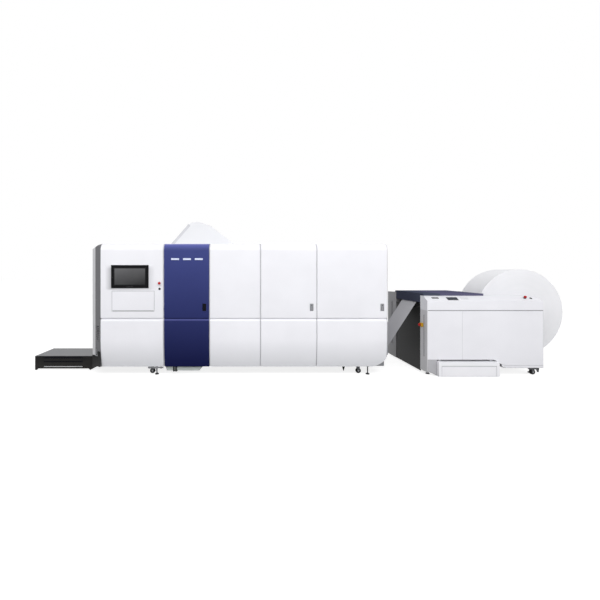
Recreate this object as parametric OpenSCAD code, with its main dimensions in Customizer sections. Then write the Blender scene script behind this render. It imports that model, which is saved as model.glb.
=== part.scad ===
// Roll-fed digital production printer: web tunnel, print engine and unwinder.
// X runs along the line, Y from front to back and Z up. The engine's left front edge
// is x = 0, y = 0 while building, and place() moves the origin to the bottom centre.

/* [Engine] */
// Height of the engine to the top of its roof
engine_h = 2040; // [1900:10:2200]
// Depth of the engine from front to back
engine_d = 1850; // [1700:10:2000]
// Width of the operator module
operator_w = 968; // [920:4:1100]
// Width of the ink module
ink_w = 708; // [660:4:900]
// Width of the dryer module
dryer_w = 785; // [740:5:960]
// Width of the print module
print_w = 866; // [800:2:1000]
// Width of the infeed module
infeed_w = 1088; // [1000:4:1200]
// Height of the line between upper and lower panels
split_z = 885; // [840:5:940]
// Height of the bottom edge of the lower panels
skirt_z = 130; // [124:1:150]
// Radius of the rounded top front edge
crown_r = 110; // [90:5:115]
// Radius of the lower panels' long inward curve
tuck_r = 2300; // [2200:20:3000]
// Height where the lower panels begin to curve inward
tuck_z = 630; // [580:10:680]
// Gap between neighbouring modules
joint_gap = 16; // [15:1:20]
// Thickness of covers and panels
sheet = 4; // [3:0.5:5]
// Depth of the folded edges of doors and panels
fold = 40; // [25:5:45]
// Radius of the lower panels' rounded top edge
lip_r = 40; // [20:1:60]

/* [Engine ends] */
// Reach of the grey chamfer at the left end
chamfer_reach = 119; // [90:1:130]
// Depth at which the grey chamfer ends
chamfer_depth = 100; // [80:5:120]
// Reach of the left end cover
end_reach = 183; // [170:1:240]
// Depth at which the left side turns straight
end_depth = 150; // [135:5:190]
// Drop of the left end cover's top over its reach
end_drop = 77; // [50:1:100]
// Number of louvre slots in the grey chamfer
louvres = 8; // [4:1:9]
// Radius of the cut lower corner at the right end
corner_r = 306; // [250:2:320]

/* [Frame] */
// Width of the square frame tubes
tube = 60; // [50:5:64]
// Distance from the front to the posts
post_y = 125; // [120:1:135]
// Wall thickness of the frame tubes
tube_wall = 4; // [3:0.5:6]
// Height of the underside of the frame
chassis_z = 122; // [118:1:126]

/* [Doors] */
// Radius of the hinge knuckles
knuckle_r = 6.5; // [5.5:0.1:6.8]
// Radius of the hinge pins
hinge_pin_r = 4; // [3:0.1:4.5]
// Height of a hinge knuckle
knuckle_h = 40; // [30:1:60]
// Width of the paddle latches
latch_w = 51; // [45:1:60]
// Height of the paddle latches
latch_h = 111; // [90:1:130]
// Height of the latches' lower edge
latch_z = 1000; // [960:5:1040]
// Distance from a latch to the door's free edge
latch_edge = 45; // [40:1:60]

/* [Operator panel] */
// Width of the monitor
monitor_w = 574; // [520:2:600]
// Height of the monitor
monitor_h = 354; // [320:2:370]
// Place of the monitor across the module, as a share of the width it leaves free
monitor_x_share = 0.419; // [0.38:0.001:0.46]
// Height of the monitor's lower edge
monitor_z = 1352; // [1330:2:1400]
// Width of the monitor's black border
bezel = 42; // [30:1:50]
// Width of the keyboard flap
flap_w = 645; // [560:5:660]
// Height of the keyboard flap
flap_h = 296; // [260:2:300]
// Place of the flap across the module, as a share of the width it leaves free
flap_x_share = 0.548; // [0.5:0.001:0.6]
// Height of the flap's hinge
flap_z = 998; // [970:2:1010]

/* [Buttons] */
// Radius of the red stop buttons
stop_r = 21; // [18:0.5:24]
// Radius of the black start buttons
start_r = 13; // [11:0.5:14]
// Travel of the stop buttons
stop_travel = 6; // [4:0.5:7]
// Travel of the start buttons
start_travel = 3; // [2:0.5:4]

/* [Exhaust hood] */
// Distance from the engine's left edge to the hood
hood_x = 861; // [800:5:900]
// Length of the hood at the roof
hood_l = 1254; // [1150:2:1300]
// Height of the hood above the roof
hood_h = 453; // [400:1:480]
// Depth of the hood
hood_d = 260; // [230:5:320]
// Distance from the engine's front to the hood
hood_y = 900; // [850:10:1000]
// Radius of the duct spigot at its back
spigot_r = 100; // [80:1:105]

/* [Paper path] */
// Width of the paper web
web_w = 520; // [480:5:540]
// Distance from the engine's front to the web
web_y = 384; // [380:1:420]
// Modelled thickness of the web
web_t = 1; // [0.6:0.1:1.5]
// Radius of the guide rollers
roller_r = 50; // [44:1:54]
// Radius of the rollers' journals
journal_r = 15; // [10:1:20]
// Radius of the dryer drum
drum_r = 320; // [280:5:330]
// Height of the web over the print platen
print_web_z = 1251; // [1230:1:1300]
// Height of the web leaving the engine
exit_web_z = 200; // [197:0.5:203]
// Number of print bars
bars = 4; // [2:1:4]
// Distance that the print bars lift
bar_lift = 80; // [40:5:90]

/* [Tunnel] */
// Length of the tunnel up to the engine's end cover
tunnel_l = 1019; // [900:5:1200]
// Height of the tunnel
tunnel_h = 229; // [225:1:240]
// Depth of the tunnel from front to back
tunnel_d = 602; // [590:1:640]
// Distance from the engine's front to the tunnel
tunnel_y = 343; // [335:1:345]
// Height of the low cut between the tunnel's feet
arch_h = 24; // [10:1:40]
// Thickness of the tunnel's plates
tunnel_t = 10; // [6:1:12]

/* [Unwinder] */
// Gap between the engine and the unwinder
unwinder_gap = 612; // [600:2:700]
// Length of the unwinder's cabinets
unwinder_l = 1787; // [1750:1:1850]
// Depth of the front cabinet
front_d = 220; // [210:2:226]
// Distance between the two cabinets
bay_d = 900; // [890:2:920]
// Depth of the rear cabinet
rear_d = 370; // [340:5:400]
// Height of the console's lower line
console_z = 1006; // [990:1:1020]
// Height of the console's top
console_top = 1226; // [1220:1:1250]
// Height where the sloped console face begins
slope_z = 1154; // [1140:1:1170]
// Depth of the sloped console face
slope_d = 120; // [110:1:126]
// Radius of the console's right top corner
console_r = 95; // [60:5:110]
// Height of the front panels' edge over the step box
panel_low_z = 251; // [247:1:260]
// Height of the navy hood and lid above the console
cover_h = 34; // [32:1:50]
// Length of the fixed navy hood at the left end
fixed_hood_l = 263; // [250:1:300]
// Length of the hinged navy lid
lid_l = 678; // [600:2:700]

/* [Paper roll] */
// Outer diameter of the paper roll
roll_d = 1410; // [1000:10:1420]
// Outer radius of the cardboard core
core_r = 50; // [46:1:56]
// Bore radius of the cardboard core
core_bore_r = 38.1; // [34:0.1:40]
// Height of the roll's centre
roll_z = 939; // [930:1:950]
// Distance from the roll's centre to the unwinder's right end
roll_inset = 71; // [60:1:80]
// Height of the lift arms' pivot
pivot_z = 480; // [470:1:500]
// Distance from the roll's centre back to the arms' pivot
pivot_back = 843; // [835:1:860]
// Radius of the arms' through shaft
pivot_r = 30; // [24:0.5:31]

/* [Step box] */
// Distance from the unwinder's left end to the step box
step_x = 149; // [120:1:170]
// Length of the step box
step_l = 928; // [900:1:960]
// Height of the step box
step_h = 224; // [200:1:230]
// Reach of the step box in front of the panels
step_out = 53; // [30:1:80]
// Depth of the step box
step_d = 303; // [250:1:310]

/* [Running gear] */
// Radius of the castor wheels
wheel_r = 40; // [34:1:42]
// Width of the castor wheels
wheel_w = 30; // [24:1:34]
// Clearance of the castors above the floor
wheel_clear = 5; // [3:0.5:8]
// Radius of the levelling feet's pads
pad_r = 30; // [24:1:34]

/* [Hidden] */
$fn = 64;

// Overrun of every cut, contact gap between touching pieces, and running clearance
over = 1;
seat = 0.3;
run = 0.05;

// Module joints from the left end, and the engine's right end
joints = [
    0,
    operator_w,
    operator_w + ink_w,
    operator_w + ink_w + dryer_w,
    operator_w + ink_w + dryer_w + print_w,
    operator_w + ink_w + dryer_w + print_w + infeed_w
];
engine_l = joints[5];
half_gap = joint_gap / 2;
upper_z0 = split_z + half_gap;
lower_z1 = split_z - half_gap;
end_sheet_gap = sheet;

// Whole line: its ends, its depth and its middle
roll_r = roll_d / 2;
unwinder_x = engine_l + unwinder_gap;
unwinder_x1 = unwinder_x + unwinder_l;
roll_x = unwinder_x1 - roll_inset;
tunnel_x0 = -end_reach - tunnel_l;
bay_y = front_d + bay_d;
line_x1 = max(unwinder_x1, roll_x + roll_r);
middle_x = (tunnel_x0 + line_x1) / 2;
middle_y = (engine_d - step_out) / 2;

// Frame levels and post places
frame_top = engine_h - sheet - seat;
frame_back = engine_d - sheet - seat;
weld_gap = 0.2;
rail_top = chassis_z + tube;
post_x = [
    tube / 2 + half_gap,
    joints[1],
    joints[2],
    joints[3],
    joints[4],
    engine_l - sheet - seat - tube / 2
];
hinge_joints = [1, 3, 4];
hinge_inset = 150;
hinge_z = [upper_z0 + hinge_inset, engine_h - crown_r - hinge_inset - 2 * knuckle_h];
strap_t = 6;
tab_h = 80;
tab_inset = 60;
tab_z_upper = [upper_z0 + tab_inset, engine_h - crown_r - tab_inset - tab_h];
tab_z_lower = [tuck_z - tab_inset, lower_z1 - tab_inset - tab_h];

// Latch pocket sizes
latch_t = 4;
latch_gap = 1.5;
latch_pivot_gap = 5;
latch_pin_r = 2.5;
latch_barrel_r = 4.5;
latch_pin_x = 3;
latch_pin_y = latch_t + latch_pin_r + seat;
pocket_wall = 3;
pocket_d = 26;

// Operator panel details
opening_gap = 2;
housing_d = 40;
housing_out = 12;
glass_t = 3;
flap_pivot_y = 8;
flap_low = 9;
flap_gap = 6;
flap_fold = 14;
flap_pin_r = 2.5;
flap_lug_t = 6;
monitor_x = monitor_x_share * (operator_w - monitor_w);
flap_x = flap_x_share * (operator_w - flap_w);
stop_in = 60;
stop_x = operator_w - stop_in;
stop_z = 1428;
start_z = 1340;
stem_r = 10;
collar_r = 17;
collar_h = 12;
head_h = 16;
press_spare = 2;
stop_rise = stop_travel + press_spare;
start_rise = start_travel + press_spare;
stem_in = 24;
button_rim = 3;
console_stop_in = 244;
console_start_in = 149;
console_stop_x = unwinder_l - console_stop_in;
console_start_x = unwinder_l - console_start_in;

// Paper path: rollers as [x, z, radius, turn], turn 1 to the left and -1 to the right
paper_gap = 0.3;
web_back = web_y + web_w;
side_gap = 32;
side_t = 12;
side_y0 = web_y - side_gap - side_t;
side_y1 = web_back + side_gap;
inlet_out = 65;
inlet_z = 330;
infeed_in = 315;
outfeed_in = 84;
tension_in = 303;
tension_z = 470;
exit_in = 98;
exit_z = 1142;
inlet_c = [engine_l + inlet_out, inlet_z];
infeed_c = [engine_l - infeed_in, inlet_z];
upper_c = [
    infeed_c[0] - 2 * roller_r - web_t - 2 * paper_gap,
    print_web_z - roller_r - web_t / 2 - paper_gap
];
drum_c = [(joints[2] + joints[3]) / 2, print_web_z - drum_r - web_t / 2 - paper_gap];
outfeed_c = [joints[2] + outfeed_in, exit_web_z + roller_r + web_t / 2 + paper_gap];
pivot_c = [roll_x - pivot_back, pivot_z];
idler_r = 45;
tension_c = [unwinder_x + tension_in, tension_z];
exit_c = [unwinder_x + exit_in, exit_z];
tail_path = [[roll_x, roll_z, roll_r, -1], [pivot_c[0], pivot_c[1], idler_r, 1]];
main_path = [
    [pivot_c[0], pivot_c[1], idler_r, 1],
    [tension_c[0], tension_c[1], roller_r, -1],
    [exit_c[0], exit_c[1], roller_r, 1],
    [inlet_c[0], inlet_c[1], roller_r, -1],
    [infeed_c[0], infeed_c[1], roller_r, -1],
    [upper_c[0], upper_c[1], roller_r, 1],
    [drum_c[0], drum_c[1], drum_r, 1],
    [outfeed_c[0], outfeed_c[1], roller_r, -1]
];
tail_trim = 4.5;
wrap_step = 7.5;

// Print carriage
platen_t = 20;
bar_w = 110;
bar_h = 190;
bar_head = 3;
bar_inset = 150;
bar_x0 = joints[3] + bar_inset;
bar_pitch = (print_w - 2 * bar_inset) / (bars - 1);
platen_inset = 60;
carriage_h = 80;
carriage_w = 26;
rod_r = 8;
rod_y_in = 16;
rod_inset = 30;
rod_spare = 10;
lug = 12;
carriage_rise = 40;
carriage_overhang = 130;
carriage_end_gap = 20;
carriage_gap = 3;
carriage_z = print_web_z + carriage_rise;
carriage_x0 = bar_x0 - carriage_overhang;
carriage_x1 = joints[4] - carriage_end_gap;

// Ink tanks and electronics
shelf_z = 700;
shelf_t = 12;
tank_count = 4;
tank_gap = 14;
tank_h = 420;
tank_d = 380;
neck_r = 30;
neck_h = 30;
rack_y = 980;
rack_d = 520;
rack_h = 1500;
unit_count = 5;
unit_set = 12;

// Unwinder details
kick_z = 126;
lower_step_x = 1190;
wall_z = 50;
rear_low = 25;
plate_t = 10;
end_plate_h = 1025;
cover_setback = 6;
cover_overlap = 40;
cover_y0 = slope_d + cover_setback;
cover_y1 = bay_y + cover_overlap;
hood_low = 1115;
cover_gap = 5;
lid_pin_r = 5;
lid_lug = 14;
lid_ear = 20;
lid_knuckle_r = 8;
lid_hinge_back = 16;
lid_hinge_rise = 18;
lid_hinge_y = cover_y1 + lid_hinge_back;
lid_hinge_z = console_top + lid_hinge_rise;
lid_x0 = unwinder_x + fixed_hood_l + cover_gap;
lid_hinge_x = [lid_x0 + 2 * lid_lug, lid_x0 + lid_l - 4 * lid_lug];
boss_r = 55;
boss_d = 30;
arm_t = 40;
arm_w = 140;
arm_gap = 42;
hub_in = 60;
beam = 60;
beam_x = [40, 1100];
beam_y0 = front_d - 2 * beam;
beam_z0 = chassis_z - beam - seat;
stop_box = 58;
stop_box_d = 34;
side_stop_z = 769;
side_stop_y = 150;

// Running gear places
foot_rod_r = 9;
foot_pad_h = 12;
foot_lug = 46;
foot_left_x = 845;
foot_right_in = 272;
castor_left_x = 766;
castor_right_in = 403;
foot_x = [foot_left_x, engine_l - foot_right_in];
castor_x = [castor_left_x, engine_l - castor_right_in];
castor_y = [post_y + tube / 2, frame_back - tube / 2];
unwinder_castor_in = 113;
unwinder_castor_y0 = 80;
unwinder_castor_x = unwinder_x1 - unwinder_castor_in;
unwinder_castor_y = [unwinder_castor_y0, bay_y + rear_d / 2];
unwinder_foot_x = unwinder_x + beam_x[0] + beam / 2;
axle_r = 8;
fork_t = 5;
fork_gap = 3;

// Placing helpers

module place() {
    translate([-middle_x, -middle_y, 0]) children();
}

// Extrudes a shape drawn in depth and height along the line
module along_x(x0, length) {
    translate([x0, 0, 0]) rotate([90, 0, 90]) linear_extrude(length) children();
}

// Extrudes a shape drawn in length and height from front to back
module along_y(y0, length) {
    translate([0, y0 + length, 0]) rotate([90, 0, 0]) linear_extrude(length) children();
}

module rod_y(x, y0, z, r, length) {
    translate([x, y0, z]) rotate([-90, 0, 0]) cylinder(r = r, h = length);
}

module rod_x(x0, y, z, r, length) {
    translate([x0, y, z]) rotate([0, 90, 0]) cylinder(r = r, h = length);
}

// Panel sections

// Outline of the upper panels, drawn in by an inset on the front and top
module upper_region(depth, inset) {
    difference() {
        translate([inset, upper_z0]) square([depth - inset, engine_h - inset - upper_z0]);
        difference() {
            translate([-over, engine_h - crown_r]) square([crown_r + over, crown_r + over]);
            translate([crown_r, engine_h - crown_r]) circle(crown_r - inset, $fn = 128);
        }
    }
}

module upper_band(thickness) {
    difference() {
        upper_region(crown_r, 0);
        upper_region(crown_r + over, thickness);
        translate([thickness, upper_z0 - over]) square([crown_r, 2 * over]);
    }
}

// Outline of the lower panels, with their rounded top and long inward curve
module lower_region(depth, inset) {
    difference() {
        union() {
            translate([inset, tuck_z]) square([depth - inset, lower_z1 - inset - tuck_z]);
            intersection() {
                translate([inset, skirt_z]) square([depth - inset, tuck_z - skirt_z + over]);
                translate([tuck_r, tuck_z]) circle(tuck_r - inset, $fn = 720);
            }
        }
        if (lip_r > inset) {
            difference() {
                translate([-over, lower_z1 - lip_r]) square([lip_r + over, lip_r + over]);
                translate([lip_r, lower_z1 - lip_r]) circle(lip_r - inset);
            }
        }
    }
}

module lower_band(thickness) {
    difference() {
        lower_region(2 * fold, 0);
        lower_region(3 * fold, thickness);
        translate([thickness, skirt_z - over]) square([3 * fold, 2 * over]);
    }
}

// A folded upper panel: skin, side folds and bottom fold
module upper_pan(x0, width) {
    along_x(x0, width) upper_band(sheet);
    for (x = [x0, x0 + width - sheet]) {
        along_x(x, sheet) intersection() {
            upper_band(fold);
            square([crown_r + over, 2 * engine_h]);
        }
    }
    translate([x0, 0, upper_z0]) cube([width, fold, sheet]);
}

// A folded lower panel with a rounded top
module lower_pan(x0, width) {
    along_x(x0, width) lower_band(sheet);
    for (x = [x0, x0 + width - sheet]) {
        along_x(x, sheet) lower_band(fold);
    }
}

// Tabs that carry a fixed panel on the posts
module post_tabs(x0, width, heights) {
    for (x = [x0, x0 + width - sheet], z = heights) {
        translate([x, fold - over, z]) cube([sheet, post_y - seat - fold + over, tab_h]);
    }
}

// Left edge and width of a module's panel
function panel_x(i) = i == 0 ? 0 : joints[i] + half_gap;
function panel_w(i) =
    (i == 4 ? engine_l - 2 * end_sheet_gap : joints[i + 1] - half_gap) - panel_x(i);

// Door hinges

module hinge_strap(x, z) {
    difference() {
        union() {
            translate([x - strap_t / 2, 0, z]) cube([strap_t, post_y - weld_gap, knuckle_h]);
            translate([x, 0, z]) cylinder(r = knuckle_r, h = knuckle_h);
        }
        translate([x, 0, z - over]) cylinder(r = hinge_pin_r + run, h = knuckle_h + 2 * over);
    }
}

module door_knuckle(x, z) {
    translate([x, 0, z + knuckle_h + seat]) cylinder(r = knuckle_r, h = knuckle_h);
    translate([x, 0, z]) cylinder(r = hinge_pin_r, h = 2 * knuckle_h);
    translate([x, 0, z + knuckle_h + seat]) cube([half_gap + sheet, sheet, knuckle_h]);
}

// Latches

function latch_x(i) = panel_x(i) + panel_w(i) - latch_edge - latch_w;

module latch_cut(i) {
    translate([latch_x(i) - latch_pivot_gap, -over, latch_z - latch_gap])
        cube([latch_w + latch_pivot_gap + latch_gap, sheet + 2 * over, latch_h + 2 * latch_gap]);
}

module latch_pocket(i) {
    inner_x = latch_x(i) - latch_pivot_gap;
    inner_w = latch_w + latch_pivot_gap + latch_gap;
    inner_z = latch_z - latch_gap;
    inner_h = latch_h + 2 * latch_gap;
    difference() {
        translate([inner_x - pocket_wall, sheet - seat, inner_z - pocket_wall])
            cube([inner_w + 2 * pocket_wall, pocket_d, inner_h + 2 * pocket_wall]);
        translate([inner_x, 0, inner_z]) cube([inner_w, sheet + pocket_d - pocket_wall, inner_h]);
        translate([latch_x(i) + latch_pin_x, latch_pin_y, inner_z - pocket_wall - over])
            cylinder(r = latch_pin_r + run, h = inner_h + 2 * pocket_wall + 2 * over);
    }
}

module latch_paddle(i) {
    translate([latch_x(i), 0, latch_z]) {
        cube([latch_w, latch_t, latch_h]);
        translate([latch_pin_x, latch_pin_y, 0]) cylinder(r = latch_barrel_r, h = latch_h);
        translate([latch_pin_x, latch_pin_y, -latch_gap - pocket_wall])
            cylinder(r = latch_pin_r, h = latch_h + 2 * latch_gap + 2 * pocket_wall);
        translate([latch_w - 2 * latch_pin_x, latch_t - over, 0]) cube([latch_pin_x, pocket_wall, latch_h]);
    }
}

module hinged_door(i) {
    difference() {
        upper_pan(panel_x(i), panel_w(i));
        latch_cut(i);
    }
    latch_pocket(i);
    for (z = hinge_z) {
        door_knuckle(joints[i], z);
    }
}

module ink_door() {
    color([0.17, 0.18, 0.42]) place() hinged_door(1);
}

module print_door() {
    color([0.94, 0.94, 0.95]) place() hinged_door(3);
}

module infeed_door() {
    color([0.94, 0.94, 0.95]) place() hinged_door(4);
}

module ink_door_latch() {
    color([0.05, 0.05, 0.08]) place() latch_paddle(1);
}

module print_door_latch() {
    color([0.55, 0.56, 0.58]) place() latch_paddle(3);
}

module infeed_door_latch() {
    color([0.55, 0.56, 0.58]) place() latch_paddle(4);
}

// Three light bars high on the ink door
light_h = 28;
light_z = 1784;
light_t = 4;
light_gap = 60;
light_x = 110;
light_w = 122;

module ink_door_lights() {
    color([0.97, 0.97, 1]) place()
        for (i = [0:2]) {
            translate([panel_x(1) + light_x + i * (light_w + light_gap), -light_t - seat, light_z])
                cube([light_w, light_t, light_h]);
        }
}

// Fixed panels of the engine

module monitor_opening(grow, depth) {
    translate([monitor_x - grow, -over, monitor_z - grow])
        cube([monitor_w + 2 * grow, depth, monitor_h + 2 * grow]);
}

module operator_panel() {
    lug_x = [flap_x - flap_gap - flap_lug_t, flap_x + flap_w + flap_gap];
    color([0.95, 0.95, 0.96]) place() {
        difference() {
            upper_pan(panel_x(0), panel_w(0));
            monitor_opening(opening_gap, sheet + 2 * over);
            translate([flap_x - flap_gap, -over, flap_z - flap_gap])
                cube([flap_w + 2 * flap_gap, sheet + 2 * over, flap_h + flap_low + 2 * flap_gap]);
            rod_y(stop_x, -over, stop_z, stem_r + run, sheet + 2 * over);
            rod_y(stop_x, -over, start_z, stem_r + run, sheet + 2 * over);
        }
        post_tabs(panel_x(0), panel_w(0), tab_z_upper);
        for (x = lug_x) {
            difference() {
                translate([x, sheet - seat, flap_z - 2 * flap_gap])
                    cube([flap_lug_t, flap_fold, 4 * flap_gap]);
                rod_x(x - over, flap_pivot_y, flap_z, flap_pin_r + run, flap_lug_t + 2 * over);
            }
        }
    }
}

module keyboard_flap() {
    color([0.94, 0.94, 0.95]) place() {
        translate([flap_x, 0, flap_z + flap_low]) cube([flap_w, sheet, flap_h]);
        for (z = [flap_z + flap_low, flap_z + flap_low + flap_h - sheet]) {
            translate([flap_x, 0, z]) cube([flap_w, flap_fold, sheet]);
        }
        for (x = [flap_x, flap_x + flap_w - sheet]) {
            translate([x, 0, flap_z + flap_low]) cube([sheet, flap_fold, flap_h]);
        }
        for (x = [flap_x, flap_x + flap_w - sheet]) {
            translate([x, flap_pivot_y - flap_pin_r, flap_z])
                cube([sheet, 2 * flap_pin_r, flap_low + sheet]);
        }
        for (x = [flap_x - flap_gap - flap_lug_t, flap_x + flap_w - sheet]) {
            rod_x(x, flap_pivot_y, flap_z, flap_pin_r, flap_gap + flap_lug_t + sheet);
        }
    }
}

module monitor_housing() {
    color([0.07, 0.07, 0.08]) place() difference() {
        union() {
            translate([monitor_x, -housing_out, monitor_z])
                cube([monitor_w, housing_d + housing_out, monitor_h]);
            translate([monitor_x - bezel / 2, sheet + seat, monitor_z - bezel / 2])
                cube([monitor_w + bezel, sheet, monitor_h + bezel]);
        }
        translate([monitor_x + bezel, -housing_out - over, monitor_z + bezel])
            cube([monitor_w - 2 * bezel, 2 * glass_t + over, monitor_h - 2 * bezel]);
    }
}

module monitor_glass() {
    color([0.3, 0.3, 0.32]) place()
        translate([monitor_x + bezel + seat, -housing_out + glass_t - seat, monitor_z + bezel + seat])
            cube([monitor_w - 2 * bezel - 2 * seat, glass_t, monitor_h - 2 * bezel - 2 * seat]);
}

module dryer_panel() {
    color([0.94, 0.94, 0.95]) place() {
        upper_pan(panel_x(2), panel_w(2));
        post_tabs(panel_x(2), panel_w(2), tab_z_upper);
    }
}

module lower_cover(i) {
    lower_pan(panel_x(i), panel_w(i));
    post_tabs(panel_x(i), panel_w(i), tab_z_lower);
}

// Removes the lower right corner of the last module along a long arc
corner_share = 0.85;
corner_dip = 3;
module corner_cut() {
    reach = corner_share * corner_r;
    along_y(-over, engine_d) difference() {
        translate([engine_l - reach, skirt_z - over]) square([reach + over, corner_r / 2]);
        translate([engine_l - reach, skirt_z + corner_r - corner_dip]) circle(corner_r, $fn = 128);
    }
}

module lower_covers() {
    color([0.92, 0.92, 0.93]) place() {
        for (i = [0, 2, 3]) {
            lower_cover(i);
        }
        difference() {
            lower_cover(4);
            corner_cut();
        }
    }
}

module ink_lower_cover() {
    color([0.1, 0.11, 0.32]) place() lower_cover(1);
}

// Outline of the whole engine seen from the side
module engine_section(inset) {
    difference() {
        union() {
            translate([inset, tuck_z]) square([engine_d - 2 * inset, engine_h - inset - tuck_z]);
            intersection() {
                translate([inset, skirt_z]) square([engine_d - 2 * inset, tuck_z - skirt_z + over]);
                translate([tuck_r, tuck_z]) circle(tuck_r - inset, $fn = 720);
            }
        }
        difference() {
            translate([-over, engine_h - crown_r]) square([crown_r + over, crown_r + over]);
            translate([crown_r, engine_h - crown_r]) circle(crown_r - inset, $fn = 128);
        }
    }
}

// Left end cover as a solid form, with its two chamfers and its sloping top
module end_form(shift) {
    intersection() {
        translate([shift, shift, 0]) linear_extrude(engine_h) polygon([
            [0, 0], [-chamfer_reach, chamfer_depth], [-end_reach, end_depth],
            [-end_reach, engine_d - shift], [0, engine_d - shift]
        ]);
        along_x(-end_reach, end_reach) engine_section(shift);
        along_y(-over, engine_d + 2 * over) polygon([
            [-end_reach, 0], [0, 0], [0, engine_h - shift], [-end_reach, engine_h - shift - end_drop]
        ]);
    }
}

louvre_h = 14;
louvre_pitch = 29;
louvre_z = 541;
louvre_start_share = 0.8;
louvre_l_share = 0.55;

module left_end_cover() {
    color([0.62, 0.62, 0.64]) place() translate([-seat, 0, 0]) difference() {
        end_form(0);
        end_form(sheet);
        translate([-end_reach + sheet, end_depth, skirt_z - over])
            cube([end_reach, engine_d - end_depth - sheet, 2 * over + sheet]);
        for (i = [0:louvres - 1]) {
            translate([-louvre_start_share * chamfer_reach, 0, louvre_z + i * louvre_pitch])
                cube([louvre_l_share * chamfer_reach, chamfer_depth, louvre_h]);
        }
        translate([-end_reach - over, tunnel_y - seat, skirt_z - over])
            cube([end_reach, tunnel_d + 2 * seat, tunnel_h - skirt_z + over + seat]);
    }
}

nose_reach = 30;
nose_half_h = 80;
nose_x1 = inlet_c[0] + roller_r + nose_reach;
nose_z0 = inlet_c[1] - nose_half_h;
nose_z1 = inlet_c[1] + nose_half_h;
slot_gap = 10;
end_plate_z = skirt_z + corner_r / 2;

module right_end_cover() {
    color([0.62, 0.62, 0.64]) place() difference() {
        along_x(engine_l - sheet, sheet) difference() {
            engine_section(over);
            translate([-over, 0]) square([engine_d + 2 * over, end_plate_z]);
            translate([side_y0 - slot_gap, 0])
                square([side_y1 + side_t - side_y0 + 2 * slot_gap, nose_z1 + slot_gap]);
        }
    }
}

module roof_cover() {
    roof_y0 = crown_r + half_gap;
    color([0.9, 0.9, 0.91]) place() difference() {
        for (i = [0:4]) {
            translate([panel_x(i), roof_y0, engine_h - sheet])
                cube([panel_w(i), engine_d - sheet - seat - roof_y0, sheet]);
        }
        translate([hood_x + hood_l / 3, hood_y + hood_d / 4, engine_h - 2 * sheet])
            cube([hood_l / 3, hood_d / 2, 3 * sheet]);
    }
}

vent_count = 9;
vent_h = 14;
vent_pitch = 34;
gland_x = 250;
gland_z = 330;
gland_r = 25;

module rear_covers() {
    color([0.88, 0.88, 0.89]) place() {
        difference() {
            for (i = [0:4]) {
                translate([panel_x(i), engine_d - sheet, skirt_z])
                    cube([panel_w(i), sheet, lower_z1 - skirt_z]);
                translate([panel_x(i), engine_d - sheet, upper_z0])
                    cube([panel_w(i), sheet, engine_h - upper_z0]);
            }
            for (i = [0:4], k = [0:vent_count - 1]) {
                vent_z = upper_z0 + 4 * fold + k * vent_pitch;
                translate([panel_x(i) + panel_w(i) / 4, engine_d - 2 * sheet, vent_z])
                    cube([panel_w(i) / 2, 3 * sheet, vent_h]);
            }
            rod_y(gland_x, engine_d - 2 * sheet, gland_z, gland_r, 3 * sheet);
        }
        difference() {
            rod_y(gland_x, engine_d - sheet - gland_r, gland_z, gland_r + sheet, sheet + gland_r);
            rod_y(gland_x, engine_d - gland_r - 2 * sheet, gland_z, gland_r, gland_r + 3 * sheet);
        }
    }
}

// Exhaust hood: a straight left flank and a flowing right flank
hood_curve_shares = [
    [0.29, 0.92], [0.36, 1.0], [0.44, 1.04], [0.52, 0.93],
    [0.62, 0.83], [0.68, 0.65], [0.82, 0.40], [1.0, 0]
];

// Point on a chain of two cubic curves whose control points are shares
function bezier(p, i, t) =
    pow(1 - t, 3) * p[i] + 3 * t * pow(1 - t, 2) * p[i + 1]
    + 3 * t * t * (1 - t) * p[i + 2] + pow(t, 3) * p[i + 3];
curve_steps = 8;
hood_top_points = [
    for (i = [0, 4], k = [0:curve_steps]) bezier(hood_curve_shares, i, k / curve_steps)
];

module hood_outline(inset) {
    polygon(concat(
        [[hood_x + inset, engine_h + seat]],
        [for (p = hood_top_points)
            [hood_x + inset + p[0] * (hood_l - 2 * inset), engine_h + seat + p[1] * (hood_h - inset)]]
    ));
}

spigot_x_share = 0.4;
spigot_z_share = 0.42;
spigot_l = 60;

module exhaust_hood() {
    spigot_x = hood_x + spigot_x_share * hood_l;
    spigot_z = engine_h + spigot_z_share * hood_h;
    color([0.95, 0.95, 0.95]) place() difference() {
        union() {
            along_y(hood_y, hood_d) hood_outline(0);
            rod_y(spigot_x, hood_y + hood_d - over, spigot_z, spigot_r, spigot_l + over);
        }
        translate([0, 0, -over]) along_y(hood_y + sheet, hood_d - 2 * sheet) hood_outline(2 * sheet);
        rod_y(spigot_x, hood_y + hood_d - 2 * sheet, spigot_z, spigot_r - sheet, spigot_l + 3 * sheet);
    }
}

// Engine frame

// A square tube of the frame, open at both ends along the given axis: 0, 1 or 2
module frame_tube(corner, size, axis) {
    bore = [for (i = [0:2]) size[i] + (i == axis ? 2 * over : -2 * tube_wall)];
    bore_at = [for (i = [0:2]) i == axis ? -over : tube_wall];
    translate(corner) difference() {
        cube(size);
        translate(bore_at) cube(bore);
    }
}

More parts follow.
